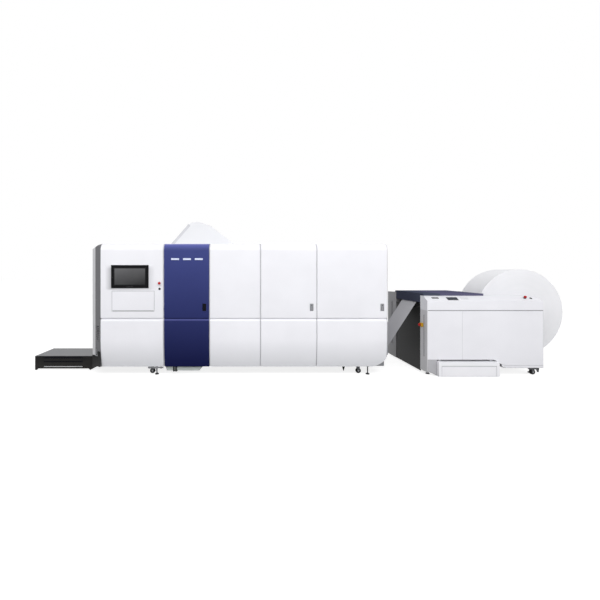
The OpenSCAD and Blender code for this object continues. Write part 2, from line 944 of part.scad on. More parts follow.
module engine_frame() {
    post_z0 = rail_top + weld_gap;
    post_h = frame_top - tube - weld_gap - post_z0;
    back_y = frame_back - tube;
    cross_l = back_y - post_y - tube - 2 * weld_gap;
    rail_x0 = post_x[0] - tube / 2;
    rail_l = post_x[5] + tube / 2 - rail_x0;
    color([0.35, 0.36, 0.38]) place() {
        for (y = [post_y, back_y], z = [chassis_z, frame_top - tube]) {
            frame_tube([rail_x0, y, z], [rail_l, tube, tube], 0);
        }
        for (x = post_x, y = [post_y, back_y]) {
            frame_tube([x - tube / 2, y, post_z0], [tube, tube, post_h], 2);
        }
        for (x = post_x, z = [chassis_z, frame_top - tube]) {
            frame_tube([x - tube / 2, post_y + tube + weld_gap, z], [tube, cross_l, tube], 1);
        }
        for (i = hinge_joints, z = hinge_z) {
            hinge_strap(joints[i], z);
        }
    }
}

// Feet and castors

module levelling_foot(x, y, top_z) {
    translate([x, y, 0]) cylinder(r = pad_r, h = foot_pad_h);
    translate([x, y, 0]) cylinder(r = foot_rod_r, h = top_z);
    translate([x, y, foot_pad_h - over]) cylinder(r = 2 * foot_rod_r, h = foot_rod_r);
}

module levelling_feet() {
    front_y = post_y - foot_lug / 2 - seat;
    back_y = frame_back - tube - foot_lug / 2 - seat;
    color([0.25, 0.25, 0.27]) place() {
        for (x = foot_x) {
            for (y = [front_y, back_y]) {
                levelling_foot(x, y, chassis_z + 3 * foot_pad_h);
                translate([x - foot_lug / 2, y - foot_lug / 2, chassis_z])
                    cube([foot_lug, foot_lug, foot_pad_h]);
            }
        }
        levelling_foot(unwinder_foot_x, beam_y0 + beam / 2, beam_z0 - seat);
        levelling_foot(unwinder_foot_x, bay_y + rear_d / 2, chassis_z - seat);
        levelling_foot(unwinder_x1 - 2 * pad_r, front_d - pad_r, chassis_z - seat);
        levelling_foot(unwinder_x1 - 2 * pad_r, bay_y + rear_d - 2 * pad_r, chassis_z - seat);
    }
}

module castor_fork(x, y) {
    top_z = chassis_z - seat;
    half = wheel_w / 2 + fork_gap;
    axle_z = wheel_r + wheel_clear;
    translate([x - wheel_r, y - half - fork_t, top_z - fork_t])
        cube([2 * wheel_r, 2 * (half + fork_t), fork_t]);
    for (side_y = [y - half - fork_t, y + half]) {
        translate([x - wheel_r / 2, side_y, axle_z]) cube([wheel_r, fork_t, top_z - axle_z]);
        rod_y(x, side_y, axle_z, wheel_r / 2, fork_t);
    }
    rod_y(x, y - half - fork_t, axle_z, axle_r, 2 * (half + fork_t));
}

module castor_forks() {
    color([0.5, 0.51, 0.53]) place() {
        for (x = castor_x, y = castor_y) {
            castor_fork(x, y);
        }
        for (y = unwinder_castor_y) {
            castor_fork(unwinder_castor_x, y);
        }
    }
}

module castor_wheel(x, y) {
    axle_z = wheel_r + wheel_clear;
    difference() {
        rod_y(x, y - wheel_w / 2, axle_z, wheel_r, wheel_w);
        rod_y(x, y - wheel_w, axle_z, axle_r + run, 2 * wheel_w);
    }
    difference() {
        rod_y(x, y - wheel_w / 2 - fork_gap / 2, axle_z, wheel_r / 2.5, wheel_w + fork_gap);
        rod_y(x, y - wheel_w, axle_z, axle_r + run, 2 * wheel_w);
    }
}

module engine_left_wheels() {
    color([0.08, 0.08, 0.08]) place()
        for (y = castor_y) {
            castor_wheel(castor_x[0], y);
        }
}

module engine_right_wheels() {
    color([0.08, 0.08, 0.08]) place()
        for (y = castor_y) {
            castor_wheel(castor_x[1], y);
        }
}

module unwinder_wheels() {
    color([0.08, 0.08, 0.08]) place()
        for (y = unwinder_castor_y) {
            castor_wheel(unwinder_castor_x, y);
        }
}

// Buttons and their collars. Each is drawn at the origin, pressed along +Y

module mushroom_button() {
    head_y = -collar_h - seat - stop_rise;
    rod_y(0, head_y - head_h, 0, stop_r, head_h);
    rod_y(0, head_y - over, 0, stem_r, -head_y + over + stem_in);
}

module flat_button() {
    head_y = -start_rise - seat;
    rod_y(0, head_y, 0, start_r, start_rise - start_travel - seat / 2);
    rod_y(0, head_y, 0, stem_r, -head_y + stem_in);
}

module collar(height) {
    difference() {
        rod_y(0, -height - seat, 0, collar_r, height);
        rod_y(0, -height - seat - over, 0, stem_r + run, height + 2 * over);
    }
}

// Ring round a flat button, wide enough for the button's head
module rim() {
    difference() {
        rod_y(0, -button_rim - seat, 0, start_r + 2 * button_rim, button_rim);
        rod_y(0, -button_rim - seat - over, 0, start_r + seat, button_rim + 2 * over);
    }
}

// Places a button on the sloped console face, measured along the console and up the slope
slope_angle = atan2(slope_d, console_top - slope_z);
slope_mid = [slope_d / 2, (slope_z + console_top) / 2];
module on_slope(x) {
    translate([unwinder_x + x, slope_mid[0], slope_mid[1]]) rotate([-slope_angle, 0, 0]) children();
}

module on_side() {
    translate([unwinder_x, side_stop_y, side_stop_z]) rotate([0, 0, -90]) children();
}

module engine_stop_button() {
    color([0.75, 0.08, 0.08]) place() translate([stop_x, 0, stop_z]) mushroom_button();
}

module engine_start_button() {
    color([0.1, 0.1, 0.1]) place() translate([stop_x, 0, start_z]) flat_button();
}

module console_stop_button() {
    color([0.75, 0.08, 0.08]) place() on_slope(console_stop_x) mushroom_button();
}

module console_start_button() {
    color([0.1, 0.1, 0.1]) place() on_slope(console_start_x) flat_button();
}

module side_stop_button() {
    color([0.75, 0.08, 0.08]) place() on_side()
        translate([0, -stop_box_d + collar_h, 0]) mushroom_button();
}

module button_bases() {
    color([0.85, 0.72, 0.1]) place() {
        translate([stop_x, 0, stop_z]) collar(collar_h);
        translate([stop_x, 0, start_z]) rim();
        on_slope(console_stop_x) collar(collar_h);
        on_slope(console_start_x) rim();
        on_side() difference() {
            translate([-stop_box / 2, -stop_box_d - seat, -stop_box / 2])
                cube([stop_box, stop_box_d, stop_box]);
            rod_y(0, -2 * stop_box_d, 0, stem_r + run, 3 * stop_box_d);
        }
    }
}

// Rollers and what carries them

// A roller between the side plates, with a journal at each end
module guide_roller(centre, radius, journal) {
    rod_y(centre[0], web_y - side_gap + over, centre[1], radius, web_w + 2 * side_gap - 2 * over);
    rod_y(centre[0], side_y0, centre[1], journal, side_y1 + side_t - side_y0);
}

module inlet_roller() {
    color([0.75, 0.76, 0.78]) place() guide_roller(inlet_c, roller_r, journal_r);
}

module infeed_roller() {
    color([0.3, 0.3, 0.32]) place() guide_roller(infeed_c, roller_r, journal_r);
}

module upper_turn_roller() {
    color([0.75, 0.76, 0.78]) place() guide_roller(upper_c, roller_r, journal_r);
}

module outfeed_roller() {
    color([0.3, 0.3, 0.32]) place() guide_roller(outfeed_c, roller_r, journal_r);
}

module dryer_drum() {
    drum_wall = 12;
    color([0.7, 0.71, 0.73]) place() {
        difference() {
            rod_y(drum_c[0], web_y - side_gap + over, drum_c[1], drum_r, web_w + 2 * side_gap - 2 * over);
            rod_y(drum_c[0], 0, drum_c[1], drum_r - drum_wall, engine_d);
        }
        for (y = [web_y, web_back - drum_wall]) {
            rod_y(drum_c[0], y, drum_c[1], drum_r - drum_wall / 2, drum_wall);
        }
        rod_y(drum_c[0], side_y0, drum_c[1], 2 * journal_r, side_y1 + side_t - side_y0);
    }
}

plate_overrun = 10;
plate_end_gap = 20;
plate_x0 = joints[2] - plate_overrun;
plate_x1 = engine_l - 2 * tube - plate_end_gap;
plate_z1 = 1520;
window_inset = 120;
window_w = 300;
window_h = 500;
window_z = 470;

// Outline of the side plates: deep body, and a nose that reaches through the right end cover
module side_plate_outline() {
    difference() {
        union() {
            translate([plate_x0, rail_top + seat]) square([plate_x1 - plate_x0, plate_z1 - rail_top]);
            translate([plate_x1 - over, nose_z0]) square([nose_x1 - plate_x1 + over, nose_z1 - nose_z0]);
        }
        for (c = [inlet_c, infeed_c, upper_c, outfeed_c]) {
            translate(c) circle(journal_r + run);
        }
        translate(drum_c) circle(2 * journal_r + run);
        translate([joints[3] + window_inset, window_z]) square([print_w - 2 * window_inset, window_h]);
        translate([joints[4] + window_inset, window_z]) square([window_w, window_h]);
    }
}

rod_places_x = [carriage_x0 + rod_inset, carriage_x1 - rod_inset];

module roller_side_plates() {
    rod_z0 = carriage_z - lug - rod_spare;
    rod_l = carriage_h + bar_lift + 2 * lug + 4 * rod_spare;
    color([0.45, 0.46, 0.48]) place() {
        for (y = [side_y0, side_y1]) {
            along_y(y, side_t) side_plate_outline();
        }
        for (x = rod_places_x, s = [0, 1]) {
            rod_y0 = s == 0 ? side_y0 + side_t + rod_y_in : side_y1 - rod_y_in;
            lug_y0 = s == 0 ? side_y0 + side_t - seat : rod_y0 - rod_r;
            lug_l = rod_y_in + rod_r + seat;
            translate([x, rod_y0, rod_z0]) cylinder(r = rod_r, h = rod_l);
            for (z = [rod_z0, rod_z0 + rod_l - lug]) {
                translate([x - rod_r, lug_y0, z]) cube([2 * rod_r, lug_l, lug]);
            }
        }
    }
}

module print_carriage() {
    inner_y = [side_y0 + side_t + carriage_gap, side_y1 - carriage_gap - carriage_w];
    rod_y_places = [side_y0 + side_t + rod_y_in, side_y1 - rod_y_in];
    color([0.55, 0.56, 0.6]) place() difference() {
        for (y = inner_y) {
            translate([carriage_x0, y, carriage_z])
                cube([carriage_x1 - carriage_x0, carriage_w, carriage_h]);
        }
        for (x = rod_places_x, y = rod_y_places) {
            translate([x, y, carriage_z - over]) cylinder(r = rod_r + run, h = carriage_h + 2 * over);
        }
    }
}

module print_bars() {
    bar_y0 = side_y0 + side_t + carriage_gap + carriage_w + seat;
    bar_l = side_y1 - side_y0 - side_t - 2 * (carriage_gap + carriage_w + seat);
    bar_z0 = print_web_z + web_t / 2 + bar_head;
    color([0.15, 0.16, 0.2]) place()
        for (i = [0:bars - 1]) {
            translate([bar_x0 + i * bar_pitch - bar_w / 2, bar_y0, bar_z0]) cube([bar_w, bar_l, bar_h]);
            translate([bar_x0 + i * bar_pitch - bar_w / 4, bar_y0 + bar_w, bar_z0 + bar_h - over])
                cube([bar_w / 2, bar_l - 2 * bar_w, bar_w / 2]);
        }
}

module print_platen() {
    platen_z = print_web_z - web_t / 2 - paper_gap - platen_t;
    color([0.6, 0.61, 0.63]) place()
        translate([joints[3] + platen_inset, side_y0 + side_t + seat, platen_z])
            cube([print_w - 2 * platen_inset, side_y1 - side_y0 - side_t - 2 * seat, platen_t]);
}

// Paper path: tangents and wraps worked out from the roller list

function path_r(w) = w[2] + paper_gap + web_t / 2;
function heading(a, b) =
    let (
        d = [b[0] - a[0], b[1] - a[1]],
        k = b[3] * path_r(b) - a[3] * path_r(a),
        l = sqrt(d * d - k * k)
    )
    atan2(d[1], d[0]) - atan2(k, l);
function left_normal(h) = [-sin(h), cos(h)];
function wrap_point(w, h) = [w[0], w[1]] - w[3] * path_r(w) * left_normal(h);
function turn_angle(w, h0, h1) = ((w[3] * (h1 - h0)) % 360 + 360) % 360;

// Points [x, z, heading] round one wrap. The ones between its ends lie a little further
// out, so that the straight facets touch the wrap's circle and don't cut into the roller
function wrap_points(w, h0, h1) =
    let (
        turn = turn_angle(w, h0, h1),
        n = max(1, ceil(turn / wrap_step)),
        out = path_r(w) * (1 / cos(turn / n / 2) - 1)
    )
    concat(
        [point_at(w, h0, 0)],
        [for (i = [0:n - 1]) point_at(w, h0 + w[3] * turn * (i + 1 / 2) / n, out)],
        [point_at(w, h1, 0)]
    );
function point_at(w, h, out) =
    let (p = wrap_point(w, h) - w[3] * out * left_normal(h)) [p[0], p[1], h];

// Closed strip of the web's thickness along a list of [x, z, heading]
function strip(points) = concat(
    [for (p = points) [p[0], p[1]] + web_t / 2 * left_normal(p[2])],
    [for (i = [len(points) - 1:-1:0])
        [points[i][0], points[i][1]] - web_t / 2 * left_normal(points[i][2])]
);

tail_heading = heading(tail_path[0], tail_path[1]);
tail_start = wrap_point(tail_path[0], tail_heading);
tail_end = wrap_point(tail_path[1], tail_heading);
tail_points = [
    [tail_start[0], tail_start[1], tail_heading],
    [tail_end[0], tail_end[1], tail_heading]
];
main_headings = concat(
    [tail_heading + tail_trim * main_path[0][3]],
    [for (i = [0:len(main_path) - 2]) heading(main_path[i], main_path[i + 1])],
    [180]
);
function wrap_of(i) = wrap_points(main_path[i], main_headings[i], main_headings[i + 1]);
main_points = concat(
    [for (i = [0:len(main_path) - 1], p = wrap_of(i)) p],
    [[tunnel_x0 + over, exit_web_z, 180]]
);

module paper_web() {
    color([0.93, 0.93, 0.94]) place() along_y(web_y, web_w) polygon(strip(main_points));
}

module web_tail() {
    color([0.93, 0.93, 0.94]) place() along_y(web_y, web_w) polygon(strip(tail_points));
}

// Ink tanks and electronics

module ink_tanks() {
    shelf_x0 = joints[1] + tube / 2 + seat;
    shelf_l = ink_w - tube - 2 * seat;
    tank_w = (shelf_l - (tank_count + 1) * tank_gap) / tank_count;
    color([0.85, 0.86, 0.88]) place() {
        translate([shelf_x0, post_y + over, shelf_z]) cube([shelf_l, tank_d + 2 * tank_gap, shelf_t]);
        for (i = [0:tank_count - 1]) {
            x = shelf_x0 + tank_gap + i * (tank_w + tank_gap);
            translate([x, post_y + tank_gap, shelf_z + shelf_t + seat]) cube([tank_w, tank_d, tank_h]);
            translate([x + tank_w / 2, post_y + 3 * tank_gap + neck_r, shelf_z + shelf_t + tank_h])
                cylinder(r = neck_r, h = neck_h);
        }
    }
}

module electronics_rack() {
    rack_x0 = post_x[0] - tube / 2;
    rack_w = joints[1] + tube / 2 - rack_x0;
    base_z = rail_top + seat;
    bay_h = (rack_h - (unit_count + 1) * sheet) / unit_count;
    bay_w = rack_w - 2 * sheet;
    color([0.7, 0.72, 0.7]) place() {
        difference() {
            translate([rack_x0, rack_y, base_z]) cube([rack_w, rack_d, rack_h]);
            for (i = [0:unit_count - 1]) {
                translate([rack_x0 + sheet, rack_y - over, base_z + sheet + i * (bay_h + sheet)])
                    cube([bay_w, rack_d - sheet + over, bay_h]);
            }
        }
        for (i = [0:unit_count - 1]) {
            translate([rack_x0 + sheet, rack_y + unit_set, base_z + sheet + seat + i * (bay_h + sheet)])
                rack_unit([bay_w, rack_d - 3 * unit_set, bay_h]);
        }
    }
}

// One electronics unit: a tray with a front panel, narrower than its bay
module rack_unit(bay) {
    w = bay[0] - 2 * unit_set;
    h = bay[2] - unit_set;
    translate([unit_set, 0, 0]) difference() {
        cube([w, bay[1], h]);
        translate([sheet, sheet, sheet]) cube([w - 2 * sheet, bay[1], h]);
    }
}

// Unwinder

// Bearings of the unwinder as [x, z, boss radius, bore radius]
arm_bearing = [pivot_c[0], pivot_c[1], boss_r, pivot_r + run];
tension_bearing = [tension_c[0], tension_c[1], 2 * journal_r, journal_r + run];
exit_bearing = [exit_c[0], exit_c[1], 2 * journal_r, journal_r + run];

module bearing_hole(b, y0, length) {
    rod_y(b[0], y0 - over, b[1], b[2] - over, length + 2 * over);
}

module bearing_boss(b, y0) {
    difference() {
        rod_y(b[0], y0, b[1], b[2], boss_d);
        rod_y(b[0], y0 - over, b[1], b[3], boss_d + 2 * over);
    }
}

module unwinder_front_cabinet() {
    top_z = console_z - seat;
    step_x1 = unwinder_x + lower_step_x;
    color([0.66, 0.66, 0.68]) place() {
        difference() {
            union() {
                along_y(0, front_d) {
                    translate([unwinder_x, wall_z]) square([sheet, top_z - wall_z]);
                    translate([unwinder_x1 - sheet, chassis_z]) square([sheet, top_z - chassis_z]);
                }
                along_y(sheet + seat, front_d - sheet - seat) {
                    translate([unwinder_x, top_z - sheet]) square([unwinder_l, sheet]);
                    translate([unwinder_x, panel_low_z - sheet]) square([lower_step_x, sheet]);
                    translate([step_x1 - sheet, chassis_z]) square([sheet, panel_low_z - chassis_z]);
                    translate([step_x1 - sheet, chassis_z]) square([unwinder_x1 - step_x1 + sheet, sheet]);
                }
                translate([unwinder_x, front_d - sheet, panel_low_z - sheet])
                    cube([unwinder_l, sheet, top_z - panel_low_z + sheet]);
            }
            for (b = [arm_bearing, tension_bearing]) {
                bearing_hole(b, front_d - sheet, sheet);
            }
            rod_x(unwinder_x - over, side_stop_y, side_stop_z, stem_r + run, sheet + 2 * over);
        }
        for (b = [arm_bearing, tension_bearing]) {
            bearing_boss(b, front_d - boss_d);
        }
    }
}

module unwinder_rear_cabinet() {
    inner_w = unwinder_l - 2 * sheet;
    inner_d = rear_d - 2 * sheet;
    color([0.66, 0.66, 0.68]) place() {
        difference() {
            translate([unwinder_x, bay_y, rear_low]) cube([unwinder_l, rear_d, console_top - rear_low]);
            translate([unwinder_x + sheet, bay_y + sheet, chassis_z + sheet])
                cube([inner_w, inner_d, console_top - chassis_z - 2 * sheet]);
            translate([unwinder_x + sheet, bay_y + sheet, rear_low - over])
                cube([inner_w, inner_d, chassis_z - rear_low + over]);
            for (b = [arm_bearing, tension_bearing, exit_bearing]) {
                bearing_hole(b, bay_y, sheet);
            }
        }
        for (b = [arm_bearing, tension_bearing, exit_bearing]) {
            bearing_boss(b, bay_y);
        }
        for (x = lid_hinge_x) {
            difference() {
                translate([x + lid_lug + seat, lid_hinge_y - lid_ear / 2, console_top - over])
                    cube([lid_lug, lid_ear, lid_hinge_z - console_top + lid_knuckle_r + over]);
                rod_x(x, lid_hinge_y, lid_hinge_z, lid_pin_r + run, 3 * lid_lug);
            }
        }
    }
}

panel_seam = 542;
panel_gap = 4;
strip_gap = 6;
panel_fold = 20;
curve_start = 915;
curve_l = 290;
strip_z = 162;

// Front panel outlines: the right one runs low beyond the step box along an easy curve
lower_curve_shares = [[0, 0], [0.35, 0.02], [0.5, 0.16], [0.66, 0.55], [0.8, 0.84], [1, 1]];

module unwinder_front_panels() {
    left_x0 = unwinder_x + sheet + seat;
    right_x1 = unwinder_x1 - sheet - seat;
    top_z = console_z - strip_gap;
    seam_x = unwinder_x + panel_seam;
    curve_x0 = unwinder_x + curve_start;
    curve_x1 = curve_x0 + curve_l;
    color([0.94, 0.94, 0.95]) place() {
        along_y(0, sheet) translate([left_x0, panel_low_z])
            square([seam_x - panel_gap / 2 - left_x0, top_z - panel_low_z]);
        along_y(0, sheet) polygon(concat(
            [[right_x1, strip_z], [right_x1, top_z], [seam_x + panel_gap / 2, top_z],
             [seam_x + panel_gap / 2, panel_low_z]],
            [for (p = lower_curve_shares)
                [curve_x0 + p[0] * curve_l, panel_low_z - p[1] * (panel_low_z - strip_z)]]
        ));
        for (x = [left_x0, seam_x - panel_gap / 2 - sheet, seam_x + panel_gap / 2, right_x1 - sheet]) {
            translate([x, 0, panel_low_z]) cube([sheet, panel_fold, top_z - panel_low_z]);
        }
        for (span = [[left_x0, seam_x - panel_gap / 2], [seam_x + panel_gap / 2, right_x1]]) {
            translate([span[0], 0, top_z - sheet]) cube([span[1] - span[0], panel_fold, sheet]);
        }
        along_y(0, panel_fold) translate([curve_x1 + panel_gap, kick_z + over])
            square([right_x1 - curve_x1 - panel_gap, strip_z - kick_z - panel_gap]);
    }
}

// Console section: upright face, sloped face and flat top
module console_section(inset) {
    polygon([
        [inset, console_z - (inset > 0 ? over : 0)], [inset, slope_z - inset / 3],
        [slope_d + inset / 3, console_top - inset], [front_d - inset, console_top - inset],
        [front_d - inset, console_z - (inset > 0 ? over : 0)]
    ]);
}

module unwinder_console() {
    round_c = [unwinder_x1 - console_r, console_top - console_r];
    color([0.95, 0.95, 0.96]) place() {
        difference() {
            along_x(unwinder_x, unwinder_l) console_section(0);
            along_x(unwinder_x + sheet, unwinder_l - 2 * sheet) console_section(sheet);
            along_y(-over, front_d + 2 * over) difference() {
                translate(round_c) square([console_r + over, console_r + over]);
                translate(round_c) circle(console_r);
            }
            for (x = [console_stop_x, console_start_x]) {
                on_slope(x) rod_y(0, -stem_in, 0, stem_r + run, 2 * stem_in);
            }
            bearing_hole(exit_bearing, front_d - sheet, sheet);
        }
        intersection() {
            along_x(round_c[0], console_r) console_section(0);
            along_y(0, front_d) difference() {
                translate(round_c) circle(console_r);
                translate(round_c) circle(console_r - sheet);
                translate([round_c[0] - console_r, round_c[1] - 2 * console_r])
                    square([2 * console_r, 2 * console_r]);
            }
        }
        bearing_boss(exit_bearing, front_d - boss_d);
    }
}

module unwinder_cross_frame() {
    color([0.08, 0.08, 0.09]) place() {
        translate([unwinder_x + sheet, front_d + seat, rear_low])
            cube([plate_t, bay_d - 2 * seat, end_plate_h]);
        for (x = beam_x) {
            translate([unwinder_x + x, beam_y0, beam_z0]) cube([beam, bay_y - seat - beam_y0, beam]);
            translate([unwinder_x + x, beam_y0, beam_z0])
                cube([beam, beam, panel_low_z - sheet - seat - beam_z0]);
        }
    }
}

// A shallow cover, open below, over the console and the rear cabinet
module cover_box(x0, length) {
    z0 = console_top + seat;
    difference() {
        translate([x0, cover_y0, z0]) cube([length, cover_y1 - cover_y0, cover_h]);
        translate([x0 + sheet, cover_y0 + sheet, z0 - over])
            cube([length - 2 * sheet, cover_y1 - cover_y0 - 2 * sheet, cover_h - sheet + over]);
    }
}

module unwinder_hood() {
    color([0.17, 0.17, 0.27]) place() {
        cover_box(unwinder_x, fixed_hood_l);
        translate([unwinder_x, front_d + seat, hood_low])
            cube([sheet, bay_d - 2 * seat, console_top + sheet - hood_low]);
    }
}

module unwinder_lid() {
    color([0.24, 0.24, 0.36]) place() {
        cover_box(lid_x0, lid_l);
        for (x = lid_hinge_x) {
            translate([x, cover_y1 - over, lid_hinge_z - lid_pin_r])
                cube([lid_lug, lid_hinge_y - cover_y1 + over, 2 * lid_pin_r]);
            rod_x(x, lid_hinge_y, lid_hinge_z, lid_knuckle_r, lid_lug);
            rod_x(x, lid_hinge_y, lid_hinge_z, lid_pin_r, 2 * lid_lug + seat);
        }
    }
}

module step_box() {
    side_rim = 44;
    top_rim = 57;
    recess = 6;
    x0 = unwinder_x + step_x;
    color([0.93, 0.93, 0.94]) place() {
        difference() {
            translate([x0, -step_out, 0]) cube([step_l, step_d, step_h]);
            translate([x0 + sheet, -step_out + 4 * sheet, -over])
                cube([step_l - 2 * sheet, step_d - 5 * sheet, step_h - sheet + over]);
            translate([x0 + side_rim, -step_out - over, -over])
                cube([step_l - 2 * side_rim, recess + over, step_h - top_rim + over]);
        }
        for (x = [x0 + side_rim, x0 + step_l - 2 * side_rim]) {
            translate([x, side_rim, step_h - over])
                cube([side_rim, side_rim, panel_low_z - sheet - seat - step_h + over]);
        }
        translate([x0 + side_rim + recess, -step_out + recess - sheet, recess])
            cube([step_l - 2 * (side_rim + recess), sheet - seat, step_h - top_rim - 2 * recess]);
    }
}

// Lift arms, roll and idler

module arm_outline() {
    dx = roll_x - pivot_c[0];
    dz = roll_z - pivot_c[1];
    translate(pivot_c) circle(arm_w / 2);
    translate([roll_x, roll_z]) circle(arm_w / 2);
    translate(pivot_c) rotate(atan2(dz, dx)) translate([0, -arm_w / 3])
        square([sqrt(dx * dx + dz * dz), 2 * arm_w / 3]);
}

module roll_arms() {
    arm_y = [front_d + arm_gap, bay_y - arm_gap - arm_t];
    color([0.2, 0.21, 0.24]) place() {
        for (y = arm_y) {
            along_y(y, arm_t) arm_outline();
        }
        rod_y(pivot_c[0], front_d - 2 * boss_d, pivot_c[1], pivot_r, bay_d + 4 * boss_d);
        rod_y(roll_x, arm_y[0], roll_z, core_bore_r - run, web_y + hub_in - arm_y[0]);
        rod_y(roll_x, web_back - hub_in, roll_z, core_bore_r - run, arm_y[1] + arm_t - web_back + hub_in);
    }
}

module paper_roll() {
    color([0.96, 0.96, 0.97]) place() difference() {
        rod_y(roll_x, web_y, roll_z, roll_r, web_w);
        rod_y(roll_x, web_y - over, roll_z, core_r + seat, web_w + 2 * over);
    }
}

module roll_core() {
    color([0.6, 0.48, 0.34]) place() difference() {
        rod_y(roll_x, web_y, roll_z, core_r, web_w);
        rod_y(roll_x, web_y - over, roll_z, core_bore_r, web_w + 2 * over);
    }
}

module pivot_idler() {
    idler_gap = 3;
    y0 = front_d + arm_gap + arm_t + idler_gap;
    y1 = bay_y - arm_gap - arm_t - idler_gap;
    color([0.75, 0.76, 0.78]) place() difference() {
        rod_y(pivot_c[0], y0, pivot_c[1], idler_r, y1 - y0);
        rod_y(pivot_c[0], y0 - over, pivot_c[1], pivot_r + run, y1 - y0 + 2 * over);
    }
}

// A roller between the two cabinets, on journals in their bearings
module bay_roller(centre) {
    rod_y(centre[0], front_d + arm_gap, centre[1], roller_r, bay_d - 2 * arm_gap);
    rod_y(centre[0], front_d - boss_d, centre[1], journal_r, bay_d + 2 * boss_d);
}

module tension_roller() {
    color([0.75, 0.76, 0.78]) place() bay_roller(tension_c);
}

module exit_roller() {
    color([0.75, 0.76, 0.78]) place() bay_roller(exit_c);
}

// Tunnel

module tunnel_plate_outline() {
    right = -end_reach - seat;
    foot = 120;
    difference() {
        translate([tunnel_x0, 0]) square([right - tunnel_x0, tunnel_h - tunnel_t - seat]);
        foot_cut(tunnel_x0 + foot / 4, right - foot);
        polygon([
            [right - foot, -over], [right + over, -over], [right + over, foot / 2], [right, foot / 2]
        ]);
    }
}

// Low cut between two feet, with sloping ends
module foot_cut(x0, x1) {
    polygon([[x0 - over, -over], [x0 + arch_h, arch_h], [x1 - arch_h, arch_h], [x1 + over, -over]]);
}

slot_x_share = 0.14;
slot_l_share = 0.62;
groove_z_shares = [0.85, 0.576];
groove_d = 6;

module tunnel_side_plates() {
    slot_x = tunnel_x0 + slot_x_share * tunnel_l;
    slot_l = slot_l_share * tunnel_l;
    color([0.12, 0.12, 0.13]) place() difference() {
        for (y = [tunnel_y, tunnel_y + tunnel_d - tunnel_t]) {
            along_y(y, tunnel_t) tunnel_plate_outline();
        }
        for (share = groove_z_shares) {
            translate([slot_x, tunnel_y - over, share * tunnel_h])
                cube([slot_l, groove_d + over, arch_h / 2]);
        }
        translate([slot_x, tunnel_y - over, 2 * arch_h + over]) cube([slot_l, 2 * tunnel_t, arch_h / 2]);
    }
}

module tunnel_top_plate() {
    color([0.55, 0.55, 0.57]) place()
        translate([tunnel_x0, tunnel_y, tunnel_h - tunnel_t])
            cube([tunnel_l - seat, tunnel_d, tunnel_t]);
}

// One line per node

engine_frame();
levelling_feet();
castor_forks();
left_end_cover();
right_end_cover();
roof_cover();
rear_covers();
exhaust_hood();
operator_panel();
monitor_housing();
monitor_glass();
dryer_panel();
lower_covers();
ink_lower_cover();
button_bases();
roller_side_plates();
print_platen();
ink_tanks();
electronics_rack();
paper_web();
unwinder_front_cabinet();
unwinder_rear_cabinet();
unwinder_front_panels();
unwinder_console();
unwinder_cross_frame();
unwinder_hood();
step_box();
tunnel_side_plates();
tunnel_top_plate();
ink_door();
ink_door_lights();
ink_door_latch();
print_door();
print_door_latch();
infeed_door();
infeed_door_latch();
keyboard_flap();
engine_stop_button();
engine_start_button();
print_carriage();
print_bars();
inlet_roller();
infeed_roller();
upper_turn_roller();
dryer_drum();
outfeed_roller();
engine_left_wheels();
engine_right_wheels();
unwinder_wheels();
unwinder_lid();
console_stop_button();
console_start_button();
side_stop_button();
roll_arms();
paper_roll();
roll_core();
web_tail();
pivot_idler();
tension_roller();
exit_roller();
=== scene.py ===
"""Looks of the digital production printer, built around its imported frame."""
import math

import bmesh
import bpy
from mathutils import Matrix, Vector


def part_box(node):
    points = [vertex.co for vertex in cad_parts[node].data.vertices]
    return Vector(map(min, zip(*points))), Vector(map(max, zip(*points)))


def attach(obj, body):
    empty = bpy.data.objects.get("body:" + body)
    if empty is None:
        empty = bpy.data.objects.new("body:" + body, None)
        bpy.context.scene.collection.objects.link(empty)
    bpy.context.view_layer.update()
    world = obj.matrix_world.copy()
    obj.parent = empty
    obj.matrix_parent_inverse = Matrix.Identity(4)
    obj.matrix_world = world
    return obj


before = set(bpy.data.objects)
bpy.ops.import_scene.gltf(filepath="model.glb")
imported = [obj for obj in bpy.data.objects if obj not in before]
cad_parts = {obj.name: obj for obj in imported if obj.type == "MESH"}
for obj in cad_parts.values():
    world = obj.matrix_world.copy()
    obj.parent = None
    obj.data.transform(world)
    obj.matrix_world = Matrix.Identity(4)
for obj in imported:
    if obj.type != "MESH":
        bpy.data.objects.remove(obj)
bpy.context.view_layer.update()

MM = 0.001
ORIGIN = Vector((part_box("operator_panel")[0].x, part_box("operator_panel")[0].y, 0))
FRONT = ORIGIN.y
# Edges of the engine's five modules and the unwinder's left side, in millimetres along the line
JOINTS = (0, 968, 1676, 2461, 3327, 4415)
UNWINDER_X = 5027
# Number of each door's module, counted from 0 at the left
DOORS = {"ink_door": 1, "print_door": 3, "infeed_door": 4}
scene = bpy.context.scene


def at(x, y, z):
    """Point of the line frame, in millimetres from the engine's left front edge and the floor."""
    return ORIGIN + Vector((x, y, z)) * MM


def line_x(x):
    return at(x, 0, 0).x


def line_y(y):
    return at(0, y, 0).y


# Camera and view

EYE = at(2145, -5600, 1600)
camera_data = bpy.data.cameras.new("camera")
camera = bpy.data.objects.new("camera", camera_data)
scene.collection.objects.link(camera)
camera.location = EYE
camera.rotation_euler = (math.radians(90), 0, 0)
camera_data.sensor_width = 36
camera_data.lens = 21.84
camera_data.shift_x = 0.10
camera_data.shift_y = -0.0467
camera_data.clip_start = 0.05
camera_data.clip_end = 200
scene.camera = camera
scene.view_settings.view_transform = "Standard"


# Shader nodes

# Places of the colour sockets of a Mix node, which share their names with sockets of other types
MIX_A, MIX_B, MIX_RESULT = 6, 7, 2


def linear(r, g, b):
    """Linear colour of an 8-bit display colour."""
    def channel(v):
        v /= 255
        return v / 12.92 if v <= 0.04045 else ((v + 0.055) / 1.055) ** 2.4
    return (channel(r), channel(g), channel(b), 1)


